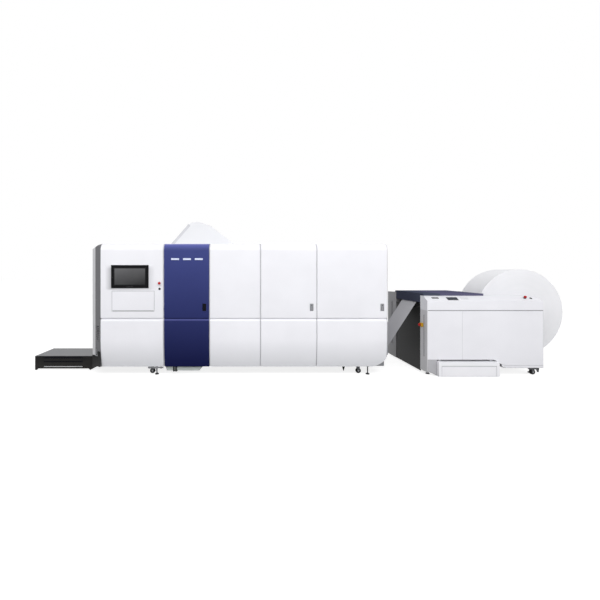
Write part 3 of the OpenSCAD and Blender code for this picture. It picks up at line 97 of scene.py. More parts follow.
def scaled(colour, gain):
    return tuple(min(1, c * gain) for c in colour[:3]) + (1,)


def feed(tree, node, inputs):
    """Gives each named input of a node a value or the output of another node."""
    for name, value in inputs.items():
        if isinstance(value, bpy.types.NodeSocket):
            tree.links.new(value, node.inputs[name])
        else:
            node.inputs[name].default_value = value


def new_node(tree, kind, inputs=None, **settings):
    node = tree.nodes.new("ShaderNode" + kind)
    for name, value in settings.items():
        setattr(node, name, value)
    feed(tree, node, inputs or {})
    return node


def noise(tree, vector, scale, detail=3.0, roughness=0.5):
    inputs = {"Vector": vector, "Scale": scale, "Detail": detail, "Roughness": roughness}
    return new_node(tree, "TexNoise", inputs).outputs["Fac"]


def ramp(tree, factor, dark, light, start=0.35, end=0.65):
    node = new_node(tree, "ValToRGB", {"Fac": factor})
    for element, place, colour in zip(node.color_ramp.elements, (start, end), (dark, light)):
        element.position = place
        element.color = colour
    return node.outputs["Color"]


def in_range(tree, value, low, high, from_low=0.3, from_high=0.7):
    """Carries a value from one range to another and holds it there."""
    inputs = {"Value": value, "From Min": from_low, "From Max": from_high, "To Min": low, "To Max": high}
    return new_node(tree, "MapRange", inputs).outputs["Result"]


def mix_colours(tree, factor, first, second, blend="MIX"):
    inputs = {"Factor": factor, MIX_A: first, MIX_B: second}
    node = new_node(tree, "Mix", data_type="RGBA", blend_type=blend)
    feed(tree, node, inputs)
    return node.outputs[MIX_RESULT]


def math_of(tree, operation, first, second):
    return new_node(tree, "Math", {0: first, 1: second}, operation=operation).outputs["Value"]


def vector_math(tree, operation, first, second=None):
    inputs = {0: first} if second is None else {0: first, 1: second}
    node = new_node(tree, "VectorMath", inputs, operation=operation)
    return node.outputs["Value" if operation == "LENGTH" else "Vector"]


def axes(tree, vector):
    """X, Y and Z of a vector."""
    return new_node(tree, "SeparateXYZ", {"Vector": vector}).outputs


def object_place(tree):
    return new_node(tree, "TexCoord").outputs["Object"]


def object_vector(tree, stretch=(1, 1, 1)):
    return new_node(tree, "Mapping", {"Vector": object_place(tree), "Scale": stretch}).outputs["Vector"]


def bump_normal(tree, height, strength, distance):
    inputs = {"Height": height, "Strength": strength, "Distance": distance}
    return new_node(tree, "Bump", inputs).outputs["Normal"]


def new_material(name):
    material = bpy.data.materials.new(name)
    material.use_nodes = True
    return material, material.node_tree, material.node_tree.nodes["Principled BSDF"]


# Materials, with their colours as 8-bit display colours

DUST = linear(142, 138, 130)
DUST_TOP = 0.35
WHITE = (1, 1, 1, 1)
# Reach of the surround from the monitor's frame in metres; left and bottom are also the reach of its painted
# shadow.
SURROUND = {"left": 0.095, "right": 0.102, "bottom": 0.040, "top": 0.012}


def surface(name, colour, rough, metallic=0.0, specular=0.5, mottle=1.6, mottle_gain=0.02,
            grain=420.0, rough_spread=0.05, bump=0.12, distance=0.0004, stretch=(1, 1, 1),
            dust=0.0, painted_shade_fade=None, painted_highlight=None):
    """Opaque finish: a slow drift of colour, a fine grain in its gloss and bump, and dust near the floor.

    Its fade, (lower colour, lower height, upper height), is painted shade that darkens the colour downwards.
    Its pearl is the lighter colour of a painted highlight where the surface faces up.
    """
    material, tree, shader = new_material(name)
    colour = linear(*colour)
    vector = object_vector(tree, stretch)
    drift = noise(tree, vector, mottle, 4.0)
    base = ramp(tree, drift, scaled(colour, 1 - mottle_gain), scaled(colour, 1 + mottle_gain))
    # Painted shade: the colour darkens downwards between the two heights.
    if painted_shade_fade:
        low_colour, low_z, high_z = painted_shade_fade
        height = in_range(tree, axes(tree, vector)["Z"], 0, 1, low_z, high_z)
        base = mix_colours(tree, height, linear(*low_colour), base)
    # Painted highlight: a lighter colour where the surface faces up.
    if painted_highlight:
        normal = new_node(tree, "NewGeometry").outputs["Normal"]
        upward_highlight = in_range(tree, axes(tree, normal)["Z"], 0, 0.9, 0.25, 0.95)
        base = mix_colours(tree, upward_highlight, base, linear(*painted_highlight))
    if dust:
        place = object_place(tree)
        near_floor = in_range(tree, axes(tree, place)["Z"], dust, 0, 0.0, DUST_TOP)
        amount = math_of(tree, "MULTIPLY", near_floor, noise(tree, place, 9.0, 5.0, 0.65))
        base = mix_colours(tree, amount, base, DUST)
    fine = noise(tree, vector, grain, 2.0)
    feed(tree, shader, {
        "Base Color": base, "Metallic": metallic, "Specular IOR Level": specular,
        "Roughness": in_range(tree, fine, rough - rough_spread, rough + rough_spread),
        "Normal": bump_normal(tree, fine, bump, distance)})
    return material


def paper_material(name, colour, centre=None):
    """Paper: fine fibre, and on the roll's ends the edges of its layers as rings round the core."""
    material, tree, shader = new_material(name)
    colour = linear(*colour)
    vector = object_vector(tree)
    fibre = noise(tree, vector, 900.0, 3.0, 0.7)
    base = ramp(tree, noise(tree, vector, 2.0, 3.0), scaled(colour, 0.975), scaled(colour, 1.015))
    height, strength = fibre, 0.15
    if centre is not None:
        offset = vector_math(tree, "SUBTRACT", vector, centre)
        radius = vector_math(tree, "LENGTH", vector_math(tree, "MULTIPLY", offset, (1, 0, 1)))
        spread = new_node(tree, "CombineXYZ", {"X": radius}).outputs["Vector"]
        rings = noise(tree, spread, 160.0, 5.0, 0.75)
        wide = noise(tree, spread, 14.0, 2.0, 0.5)
        for factor, dark in ((rings, (0.965, 0.965, 0.97, 1)), (wide, (0.975, 0.98, 0.98, 1))):
            shade = ramp(tree, factor, dark, WHITE, 0.3, 0.7)
            base = mix_colours(tree, 1, base, shade, "MULTIPLY")
        height, strength = rings, 0.35
    feed(tree, shader, {
        "Base Color": base, "Specular IOR Level": 0.25, "Roughness": in_range(tree, fibre, 0.72, 0.92),
        "Normal": bump_normal(tree, height, strength, 0.0006)})
    return material


def screen_material(name, low_z, high_z, dark, light, span_x=None):
    """Switched-off display behind glass with a painted reflection: a soft gradient that is lighter at the
    top and the left.
    """
    material, tree, shader = new_material(name)
    place = object_place(tree)
    split = axes(tree, place)
    across_share = 0.28 if span_x else 0
    total = in_range(tree, split["Z"], 0, 1 - across_share, low_z, high_z)
    if span_x:
        total = math_of(tree, "ADD", total, in_range(tree, split["X"], across_share, 0, *span_x))
    total = math_of(tree, "ADD", total, in_range(tree, noise(tree, place, 5.0, 2.0), -0.04, 0.04))
    feed(tree, shader, {
        "Base Color": ramp(tree, total, linear(*dark), linear(*light), 0.0, 1.0),
        "Roughness": in_range(tree, noise(tree, place, 30.0, 4.0), 0.14, 0.24),
        "Specular IOR Level": 0.2})
    return material


def glow_material(name, colour, strength):
    """Lit diffuser with a slight drift in its brightness. The colour is linear."""
    material, tree, shader = new_material(name)
    vector = object_vector(tree)
    glow = ramp(tree, noise(tree, vector, 24.0, 2.0), scaled(colour, 0.94), scaled(colour, 1.04))
    fine = noise(tree, vector, 600.0, 2.0)
    feed(tree, shader, {
        "Base Color": glow, "Emission Color": glow, "Emission Strength": strength, "Roughness": 0.4,
        "Normal": bump_normal(tree, fine, 0.1, 0.0002)})
    return material


def surround_material(name, colour, frame_low, frame_high):
    """Panel paint with a painted shadow that darkens it softly towards the monitor on its left, right and
    lower sides.
    """
    material, tree, shader = new_material(name)
    colour = linear(*colour)
    vector = object_vector(tree)
    half = (frame_high - frame_low) / 2
    half.y = 10
    reach = (SURROUND["left"], 1, SURROUND["bottom"])
    offset = vector
    for operation, second in (("SUBTRACT", (frame_low + frame_high) / 2), ("ABSOLUTE", None),
                              ("SUBTRACT", half), ("MAXIMUM", (0, 0, 0)), ("DIVIDE", reach)):
        offset = vector_math(tree, operation, offset, second)
    split = axes(tree, vector)
    shade = in_range(tree, vector_math(tree, "LENGTH", offset), 1, 0, 0, 1)
    for term in (in_range(tree, split["X"], 0.46, 0.26, frame_low.x, frame_high.x),
                 in_range(tree, split["Z"], 1, 0, frame_high.z - 0.06, frame_high.z)):
        shade = math_of(tree, "MULTIPLY", shade, term)
    base = ramp(tree, noise(tree, vector, 1.6, 4.0), scaled(colour, 0.98), scaled(colour, 1.02))
    fine = noise(tree, vector, 420.0, 2.0)
    feed(tree, shader, {
        "Base Color": mix_colours(tree, shade, base, (0, 0, 0.01, 1)),
        "Roughness": in_range(tree, fine, 0.31, 0.41),
        "Normal": bump_normal(tree, fine, 0.12, 0.0004), "Specular IOR Level": 0.3})
    return material


screen_low, screen_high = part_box("monitor_glass")
roll_low, roll_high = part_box("paper_roll")
roll_centre = (roll_low + roll_high) / 2

MATERIALS = {
    "white": surface("white_paint", (238, 238, 243), 0.38, specular=0.22, dust=0.08),
    # The lower covers are painted a little lighter than the doors and darker downwards: painted light and
    # painted shade.
    "low_white": surface("lower_cover_painted_shade", (242, 242, 247), 0.36, specular=0.3,
                         painted_shade_fade=((224, 225, 229), 0.13, 0.55)),
    # The step is painted lighter than the white as painted light against the shade under the cabinet.
    "step": surface("step_painted_light", (246, 246, 250), 0.42, specular=0.2, bump=0.3, dust=0.08),
    "slope": surface("console_face_painted_shade", (229, 229, 234), 0.45, specular=0.2, bump=0.3),
    "surround": surround_material("surround_painted_shadow", (237, 237, 242), at(165, 0, 1352), at(739, 0, 1706)),
    # The hood is painted a little darker than the white as painted shade against the extra light on the
    # roof.
    "hood": surface("hood_painted_shade", (224, 225, 228), 0.40, specular=0.25),
    "fold": surface("fold_paint", (204, 205, 209), 0.42, specular=0.25),
    # The blue has painted shade and painted reflection that darken it downwards, and a painted highlight
    # where it faces up.
    "blue": surface("blue_paint", (60, 68, 126), 0.30, specular=0.09, mottle_gain=0.03,
                    painted_shade_fade=((4, 12, 62), 0.13, 1.85), painted_highlight=(104, 110, 178)),
    "cover": surface("light_grey_paint", (208, 208, 211), 0.42, specular=0.3, dust=0.12),
    "chamfer": surface("mid_grey_paint", (109, 109, 112), 0.50, specular=0.25, dust=0.10),
    "frame": surface("frame_paint", (150, 152, 156), 0.50, bump=0.25, specular=0.25, mottle_gain=0.04),
    "black_frame": surface("black_frame_paint", (22, 22, 23), 0.46, bump=0.25, specular=0.12,
                           mottle_gain=0.08),
    "tunnel_top": surface("tunnel_grey_paint", (112, 113, 116), 0.45, bump=0.2, specular=0.25,
                          mottle_gain=0.04, dust=0.15),
    "tunnel_side": surface("tunnel_dark_paint", (21, 21, 23), 0.42, bump=0.25, specular=0.08,
                           mottle_gain=0.08, dust=0.15),
    "side_plate": surface("side_plate_zinc", (134, 137, 142), 0.38, metallic=0.55, mottle=14.0,
                          mottle_gain=0.08, rough_spread=0.1),
    "arm": surface("arm_paint", (50, 52, 58), 0.42, bump=0.3, specular=0.15, mottle_gain=0.05),
    "cabinet": surface("cabinet_paint", (217, 217, 220), 0.42, specular=0.3, dust=0.12),
    # The kick plate's grey is painted shade, standing for the shaded side of the step.
    "kick": surface("kick_plate_painted_shade", (182, 182, 186), 0.44, specular=0.25, dust=0.12),
    # The rear cabinet's grey is darker than the covers' paint as painted shade from the engine beside it;
    # its service covers share it.
    "rear_shaded_grey": surface("rear_grey_paint", (156, 156, 159), 0.44, specular=0.25, dust=0.12),
    "rack": surface("rack_paint", (196, 201, 197), 0.44, specular=0.3),
    "navy": surface("navy_paint", (74, 78, 94), 0.50, specular=0.0, mottle_gain=0.03),
    # The lid's navy is lighter than the hood's as a painted sheen on its top, with no reflection of its own.
    "navy_lid": surface("navy_lid_painted_sheen", (92, 90, 116), 0.55, specular=0.0, mottle_gain=0.03),
    "foot": surface("foot_steel", (60, 60, 62), 0.42, metallic=0.6, mottle=30.0, mottle_gain=0.12),
    "fork": surface("castor_fork_steel", (70, 71, 74), 0.40, metallic=0.5, mottle=26.0, mottle_gain=0.10),
    "castor": surface("fastener_zinc", (150, 151, 154), 0.34, metallic=0.9, mottle=26.0,
                      mottle_gain=0.10),
    "bright": surface("ground_steel", (198, 199, 203), 0.22, metallic=1.0, mottle=3.0, mottle_gain=0.03,
                      grain=60.0, stretch=(6, 0.4, 6), rough_spread=0.07, bump=0.05, distance=0.0001),
    "aluminium": surface("cast_aluminium", (176, 178, 182), 0.36, metallic=0.9, mottle=18.0,
                         mottle_gain=0.06, bump=0.2),
    "rubber": surface("roller_rubber", (48, 48, 50), 0.62, bump=0.35, mottle_gain=0.10, specular=0.15),
    "tyre": surface("tyre_rubber", (22, 22, 23), 0.66, bump=0.4, mottle=20.0, mottle_gain=0.15,
                    specular=0.10),
    "black": surface("black_plastic", (10, 10, 12), 0.42, bump=0.4, grain=700.0, specular=0.08,
                     mottle_gain=0.10),
    "latch": surface("latch_plastic", (146, 147, 151), 0.38, bump=0.3, grain=700.0, specular=0.3,
                     mottle_gain=0.05),
    "ink_latch": surface("dark_latch_plastic", (8, 8, 18), 0.36, bump=0.3, grain=700.0, specular=0.08,
                         mottle_gain=0.08),
    "bar": surface("print_bar_paint", (44, 47, 58), 0.38, bump=0.3, specular=0.2, mottle_gain=0.06),
    "tank": surface("tank_plastic", (212, 215, 220), 0.34, bump=0.1, mottle_gain=0.03, specular=0.4),
    "tray": surface("tray_plastic", (196, 204, 200), 0.40, bump=0.1, specular=0.3, mottle_gain=0.03),
    "seal": surface("seal_rubber", (168, 168, 172), 0.60, bump=0.3, specular=0.12, mottle_gain=0.05),
    # Grey of the trim under the console, partly painted shadow.
    "outline": surface("outline_grey", (158, 158, 162), 0.50, specular=0.2, mottle_gain=0.03),
    "gap": surface("gap_trim", (206, 206, 210), 0.55, bump=0.2, specular=0.2, mottle_gain=0.04),
    "card": surface("cardboard", (158, 124, 86), 0.80, mottle=30.0, mottle_gain=0.10, bump=0.6,
                    grain=900.0, specular=0.2),
    # The web is painted greyer than the roll's paper as painted shade, for the shadow it runs in.
    "paper": paper_material("paper", (194, 194, 198)),
    "roll": paper_material("roll_paper", (243, 243, 246), roll_centre),
    "light_bar": glow_material("light_bar", (0.60, 0.65, 0.82, 1), 0.08),
    "screen": screen_material("screen_glass", screen_low.z, screen_high.z, (30, 30, 32), (101, 101, 103),
                              (screen_low.x, screen_high.x)),
    "display": screen_material("display_glass", ORIGIN.z + 1.16, ORIGIN.z + 1.21, (30, 33, 44),
                               (46, 51, 64)),
}
for key, name, colour, rough, bump in (("red", "red_plastic", (178, 24, 28), 0.32, 0.15),
                                       ("yellow", "yellow_plastic", (206, 160, 40), 0.36, 0.2),
                                       ("ring", "ring_grey_plastic", (84, 84, 88), 0.38, 0.2)):
    MATERIALS[key] = surface(name, colour, rough, bump=bump, grain=500.0, specular=0.2, mottle_gain=0.05)
for key, name, colour in (("cyan", "cap_one", (22, 120, 160)), ("magenta", "cap_two", (168, 34, 98)),
                          ("amber", "cap_three", (216, 176, 30))):
    MATERIALS[key] = surface(name, colour, 0.34, grain=500.0, specular=0.3, mottle_gain=0.04)

NODE_MATERIALS = {
    "low_white": ["lower_covers"],
    "white": ["operator_panel", "dryer_panel", "print_door", "infeed_door", "keyboard_flap",
              "roof_cover", "unwinder_front_panels", "unwinder_console"],
    "step": ["step_box"],
    "blue": ["ink_door", "ink_lower_cover"],
    "cover": ["left_end_cover", "right_end_cover", "rear_covers"],
    "cabinet": ["unwinder_front_cabinet"],
    "rear_shaded_grey": ["unwinder_rear_cabinet"],
    "hood": ["exhaust_hood"],
    "frame": ["engine_frame"],
    "black_frame": ["unwinder_cross_frame"],
    "tunnel_top": ["tunnel_top_plate"],
    "tunnel_side": ["tunnel_side_plates"],
    "side_plate": ["roller_side_plates"],
    "arm": ["roll_arms"],
    "rack": ["electronics_rack"],
    "navy": ["unwinder_hood"],
    "navy_lid": ["unwinder_lid"],
    "foot": ["levelling_feet"],
    "fork": ["castor_forks"],
    "bright": ["inlet_roller", "upper_turn_roller", "dryer_drum", "pivot_idler", "tension_roller",
               "exit_roller"],
    "aluminium": ["print_carriage", "print_platen"],
    "rubber": ["infeed_roller", "outfeed_roller"],
    "tyre": ["engine_left_wheels", "engine_right_wheels", "unwinder_wheels"],
    "black": ["monitor_housing", "engine_start_button", "console_start_button"],
    "latch": ["print_door_latch", "infeed_door_latch"],
    "ink_latch": ["ink_door_latch"],
    "red": ["engine_stop_button", "console_stop_button", "side_stop_button"],
    "yellow": ["button_bases"],
    "bar": ["print_bars"],
    "tank": ["ink_tanks"],
    "light_bar": ["ink_door_lights"],
    "screen": ["monitor_glass"],
    "paper": ["paper_web", "web_tail"],
    "roll": ["paper_roll"],
    "card": ["roll_core"],
}

# Width of softened edges in metres: its own for the nodes in OWN_EDGES, none for those in NO_EDGES
EDGE = 0.0012
OWN_EDGES = {
    "unwinder_hood": 0.012, "unwinder_lid": 0.010, "monitor_housing": 0.004, "step_box": 0.004,
    "unwinder_console": 0.0018, "engine_stop_button": 0.0018, "console_stop_button": 0.0018,
    "side_stop_button": 0.0018, "engine_start_button": 0.0004, "console_start_button": 0.0004,
    "exhaust_hood": 0.006, "print_bars": 0.005, "ink_tanks": 0.008, "roll_arms": 0.006,
    "tunnel_side_plates": 0.003, "tunnel_top_plate": 0.003, "paper_roll": 0.002,
    "ink_door_lights": 0.0018,
}
NO_EDGES = {"paper_web", "web_tail", "monitor_glass"}


def soften(obj, width, segments=2, weld=False):
    """Bevels the edges. A CAD node's triangles are first welded and its flat faces joined."""
    if weld:
        merge = obj.modifiers.new("merge", "WELD")
        merge.merge_threshold = 0.00002
        planes = obj.modifiers.new("planes", "DECIMATE")
        planes.decimate_type = "DISSOLVE"
        planes.angle_limit = math.radians(0.2)
        planes.delimit = {"MATERIAL"}
    bevel = obj.modifiers.new("edges", "BEVEL")
    bevel.width = width
    bevel.segments = segments
    bevel.limit_method = "ANGLE"
    bevel.angle_limit = math.radians(32)
    bevel.harden_normals = False
    normals = obj.modifiers.new("shading", "WEIGHTED_NORMAL")
    normals.weight = 60
    normals.keep_sharp = True


def shade_smooth(mesh):
    for polygon in mesh.polygons:
        polygon.use_smooth = True


for key, names in NODE_MATERIALS.items():
    for name in names:
        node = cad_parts[name]
        node.data.materials.clear()
        node.data.materials.append(MATERIALS[key])
        if name not in NO_EDGES:
            if "custom_normal" in node.data.attributes:
                node.data.attributes.remove(node.data.attributes["custom_normal"])
            shade_smooth(node.data)
            soften(node, OWN_EDGES.get(name, EDGE), 3 if name in OWN_EDGES else 2, weld=True)


def repaint(name, key, chosen):
    """Second finish on the chosen faces of a CAD node."""
    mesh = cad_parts[name].data
    mesh.materials.append(MATERIALS[key])
    for polygon in mesh.polygons:
        if chosen(polygon):
            polygon.material_index = 1


# The left end cover's inner strip is darker than its outer one
repaint("left_end_cover", "chamfer", lambda face: face.center.x > line_x(-119) and face.normal.y < -0.3)
# Door knuckles and the frame's straps have the light grey of the trim in the joints
for door, module in DOORS.items():
    repaint(door, "gap", lambda face: face.center.x < line_x(JOINTS[module] + 7.5))
repaint("engine_frame", "gap", lambda face: face.center.y < line_y(30))
# The console's sloping face and top have a matt finish, painted a little darker than the white as painted
# shade against the extra light they catch.
repaint("unwinder_console", "slope", lambda face: face.normal.z > 0.5)
# The tunnel's top plate is dark along its front edge, like the plates under it
repaint("tunnel_top_plate", "tunnel_side", lambda face: face.normal.y < -0.5)
# The button rings on the panels are grey, and only the side button's box is yellow
repaint("button_bases", "ring", lambda face: not line_x(4900) < face.center.x < line_x(UNWINDER_X + 5))


# Mesh building

def mesh_object(name, bm, material):
    mesh = bpy.data.meshes.new(name)
    bm.to_mesh(mesh)
    bm.free()
    mesh.materials.append(material)
    piece = bpy.data.objects.new(name, mesh)
    scene.collection.objects.link(piece)
    return piece


def finish_mesh(name, bm, key, width=0.0008, body="root"):
    """Turns a bmesh into a piece with a material, softened edges and a body to ride on."""
    bmesh.ops.recalc_face_normals(bm, faces=bm.faces)
    piece = mesh_object(name, bm, MATERIALS[key])
    shade_smooth(piece.data)
    if width:
        soften(piece, width)
    else:
        piece.data.set_sharp_from_angle(angle=math.radians(40))
    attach(piece, body)


def add_box(bm, low, high, turn=None):
    """Box between two corners; turn is a matrix that is applied after it."""
    low, high = Vector(low), Vector(high)
    corners = [
        bm.verts.new((x, y, z))
        for x in (low.x, high.x) for y in (low.y, high.y) for z in (low.z, high.z)
    ]
    for face in ((0, 1, 3, 2), (4, 6, 7, 5), (0, 4, 5, 1), (2, 3, 7, 6), (0, 2, 6, 4), (1, 5, 7, 3)):
        bm.faces.new([corners[i] for i in face])
    if turn is not None:
        for corner in corners:
            corner.co = turn @ corner.co


def axis_frame(origin, axis):
    """Matrix that carries a shape made round Z to an origin and an axis."""
    return Matrix.Translation(origin) @ Vector(axis).to_track_quat("Z", "Y").to_matrix().to_4x4()


def circle(bm, place, radius, height, steps):
    angles = [2 * math.pi * i / steps for i in range(steps)]
    return [bm.verts.new(place @ Vector((radius * math.cos(a), radius * math.sin(a), height)))
            for a in angles]


def bridge(bm, one, two):
    """Skin between two closed loops of equally many points."""
    for i in range(len(one)):
        j = (i + 1) % len(one)
        bm.faces.new((one[i], one[j], two[j], two[i]))


def add_lathe(bm, profile, origin, axis, steps=32):
    """Turned shape: profile is a list of (radius, height) from one end on the axis to the other."""
    place = axis_frame(origin, axis)
    rings = [circle(bm, place, radius, height, steps if radius else 1) for radius, height in profile]
    for one, two in zip(rings, rings[1:]):
        if len(one) == len(two):
            bridge(bm, one, two)
            continue
        tip, rim = (one[0], two) if len(one) == 1 else (two[0], one)
        for i in range(steps):
            bm.faces.new((tip, rim[i], rim[(i + 1) % steps]))


def add_ring(bm, inner, outer, height, origin, axis, steps):
    """Flat-sided ring with a bore."""
    place = axis_frame(origin, axis)
    loops = [circle(bm, place, radius, level, steps)
             for radius, level in ((inner, 0), (outer, 0), (outer, height), (inner, height))]
    for one, two in zip(loops, loops[1:] + loops[:1]):
        bridge(bm, one, two)


def add_loft(bm, loops, close=False):
    """Skin through loops of equally many points."""
    rows = [[bm.verts.new(p) for p in loop] for loop in loops]
    for one, two in zip(rows, rows[1:]):
        bridge(bm, one, two)
    if close:
        bm.faces.new(rows[0])
        bm.faces.new(list(reversed(rows[-1])))


def add_prism(bm, outline, axis, low, high):
    """Outline of points pushed along an axis: x takes (y, z) and y takes (x, z)."""
    add_loft(bm, [[(w, u, v) if axis == "x" else (u, w, v) for u, v in outline] for w in (low, high)],
             close=True)


def add_screw(bm, place, axis, radius=0.005, height=0.0022):
    """Button head with a six-sided socket."""
    socket = radius * 0.45
    add_lathe(bm, [(0, height * 0.35), (socket, height * 0.35), (socket, height), (radius * 0.72, height),
                   (radius * 0.95, height * 0.55), (radius, 0), (0, 0)], place, axis, 12)


def add_fastener(bm, place, axis, along):
    """Quarter-turn head with a raised bar across it; along is the direction of the bar."""
    place, axis, along = Vector(place), Vector(axis), Vector(along)
    across = axis.cross(along)
    head = [(0, 0.0035), (0.007, 0.0035), (0.009, 0.002), (0.011, 0.0018), (0.012, 0.0002), (0, 0.0002)]
    add_lathe(bm, head, place, axis, 20)
    corners = ((-0.006, -0.0009), (0.006, -0.0009), (0.006, 0.0009), (-0.006, 0.0009))
    add_loft(bm, [[place + along * u + across * v + axis * lift for u, v in corners]
                  for lift in (0.0030, 0.0046)], close=True)


def rounded_rectangle(x0, x1, z0, z1, radius, steps=5):
    """Points of a rectangle with round corners, anticlockwise from its lower right corner."""
    corners = [(x1 - radius, z0 + radius, -90), (x1 - radius, z1 - radius, 0),
               (x0 + radius, z1 - radius, 90), (x0 + radius, z0 + radius, 180)]
    return [
        (cx + radius * math.cos(math.radians(start + 90 * k / steps)),
         cz + radius * math.sin(math.radians(start + 90 * k / steps)))
        for cx, cz, start in corners for k in range(steps + 1)
    ]


def merge_points(bm):
    bmesh.ops.remove_doubles(bm, verts=bm.verts, dist=0.00002)


# Pieces

TO_FRONT, TO_BACK, TO_RIGHT, UP = (0, -1, 0), (0, 1, 0), (1, 0, 0), (0, 0, 1)
ENGINE_H, CROWN_R, TUCK_R, TUCK_Z, SKIRT_Z = 2.040, 0.110, 2.300, 0.630, 0.130
LOWER_TOP, UPPER_BOTTOM = 0.877, 0.893


def monitor_pieces():
    """A hollow-curved surround from the panel to the housing, a border on the glass and its buttons."""
    low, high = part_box("monitor_housing")
    front, flange, gap, steps = low.y, 21 * MM, 0.0012, 8
    x0, x1, z0, z1 = low.x + flange, high.x - flange, low.z + flange, high.z - flange
    foot_y, lip_y = FRONT - 0.0003, FRONT - 0.004
    loops = []
    for k in range(steps + 1):
        out = 1 - k / steps
        y = foot_y + (lip_y - foot_y) * (k / steps) ** 3
        outline = rounded_rectangle(
            x0 - gap - SURROUND["left"] * out, x1 + gap + SURROUND["right"] * out,
            z0 - gap - SURROUND["bottom"] * out, z1 + gap + SURROUND["top"] * out, 0.004 + 0.020 * out)
        loops.append([(x, y, z) for x, z in outline])
    loops.append([(x, foot_y, z) for x, y, z in loops[-1]])
    bm = bmesh.new()
    add_loft(bm, loops + [loops[0]])
    merge_points(bm)
    finish_mesh("monitor_surround", bm, "surround", 0.0)

    low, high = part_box("monitor_glass")
    outer, inner = [rounded_rectangle(low.x + inset, high.x - inset, low.z + inset, high.z - inset, radius)
                    for inset, radius in ((0.001, 0.004), (0.009, 0.003))]
    bm = bmesh.new()
    add_loft(bm, [[(x, low.y - lift, z) for x, z in outline]
                  for outline, lift in ((outer, 0.0002), (inner, 0.0008), (inner, 0.0002))])
    finish_mesh("monitor_mask", bm, "black", 0.0)

    bm = bmesh.new()
    button = [(0, 0.0012), (0.003, 0.0012), (0.004, 0.0006), (0.004, 0), (0, 0)]
    for i in range(5):
        add_lathe(bm, button, ((x0 + x1) / 2 + (i - 2) * 0.022, front + 0.0001, z0 + 0.021), TO_FRONT, 16)
    finish_mesh("monitor_buttons", bm, "ring", 0.0)


def front_profile(depth):
    """Points (y, z) at a depth behind the engine's front, from its lower edge over its crown."""
    tuck, crown = TUCK_R - depth, CROWN_R - depth
    low_angle = math.asin((TUCK_Z - SKIRT_Z - 0.004) / TUCK_R)
    points = []
    for k in range(9):
        a = -low_angle * (1 - k / 8)
        points.append((FRONT + (TUCK_R - tuck * math.cos(a)), TUCK_Z + tuck * math.sin(a)))
    for k in range(9):
        a = math.radians(90) * k / 8
        points.append((FRONT + (CROWN_R - crown * math.cos(a)), ENGINE_H - CROWN_R + crown * math.sin(a)))
    return points


def gap_pieces():
    """Upright strips between the modules and a level strip over the lower panels."""
    bm = bmesh.new()
    outline = front_profile(0.0135) + list(reversed(front_profile(0.0160)))
    for joint in JOINTS[1:5]:
        add_prism(bm, outline, "x", line_x(joint) - 0.0064, line_x(joint) + 0.0064)
    finish_mesh("module_gap_trim", bm, "gap", 0.0004)
    y = FRONT + 0.018
    strip = [(y, LOWER_TOP - 0.0062), (y + 0.005, LOWER_TOP - 0.0032),
             (y + 0.005, UPPER_BOTTOM - 0.0012), (y, UPPER_BOTTOM - 0.0012)]
    for name, key, modules in (("panel_gap_trim", "white", (0, 2, 3, 4)), ("ink_gap_trim", "blue", (1,))):
        bm = bmesh.new()
        for i in modules:
            add_prism(bm, strip, "x", line_x(JOINTS[i]) + 0.009, line_x(JOINTS[i + 1]) - 0.009)
        finish_mesh(name, bm, key, 0.0006)


def underside_pieces():
    """Drain pipe under the operator module, drain funnel under the infeed module, and a castor guard."""
    bm = bmesh.new()
    add_lathe(bm, [(0, 0.078), (0.027, 0.078), (0.027, 0.070), (0.022, 0.064), (0.008, 0.010), (0.008, 0),
                   (0.005, 0), (0.005, 0.010), (0, 0.012)], at(3781, 155, 43.5), UP, 24)
    finish_mesh("drain_funnel", bm, "black", 0.0005)

    bm = bmesh.new()
    tube, collar, valve = 0.011, 0.016, 0.019
    pipe = [(0, 0), (tube, 0), (tube, 0.034), (collar, 0.034), (collar, 0.052), (tube, 0.052),
            (tube, 0.118), (valve, 0.118), (valve, 0.150), (tube, 0.150), (tube, 0.196),
            (collar, 0.196), (collar, 0.214), (tube, 0.214), (tube, 0.240), (0, 0.240)]
    outlet = [(0, 0), (0.009, 0), (0.009, 0.030), (0.014, 0.030), (0.014, 0.040), (0.007, 0.044), (0, 0.044)]
    add_lathe(bm, pipe, at(708, 84, 108), TO_RIGHT, 24)
    add_lathe(bm, outlet, at(842, 84, 94), (0, 0, -1), 20)
    for x in (722, 906):
        for y0, y1, z1 in ((70, 100, 95), (70, 73, 130), (97, 100, 130)):
            add_box(bm, at(x, y0, 92), at(x + 12, y1, z1))
    finish_mesh("drain_pipe", bm, "latch")

    bm = bmesh.new()
    guard = [(6606, 125), (6606, 104), (6628, 88), (6738, 88),
             (6752, 46), (6778, 46), (6784, 96), (6784, 125)]
    add_prism(bm, [(line_x(x), z * MM) for x, z in guard], "y", line_y(44), line_y(48))
    add_box(bm, at(6606, 44, 121), at(6784, 120, 125))
    for x in (6624, 6766):
        add_screw(bm, at(x, 44, 110), TO_FRONT)
    finish_mesh("castor_guard", bm, "fork")


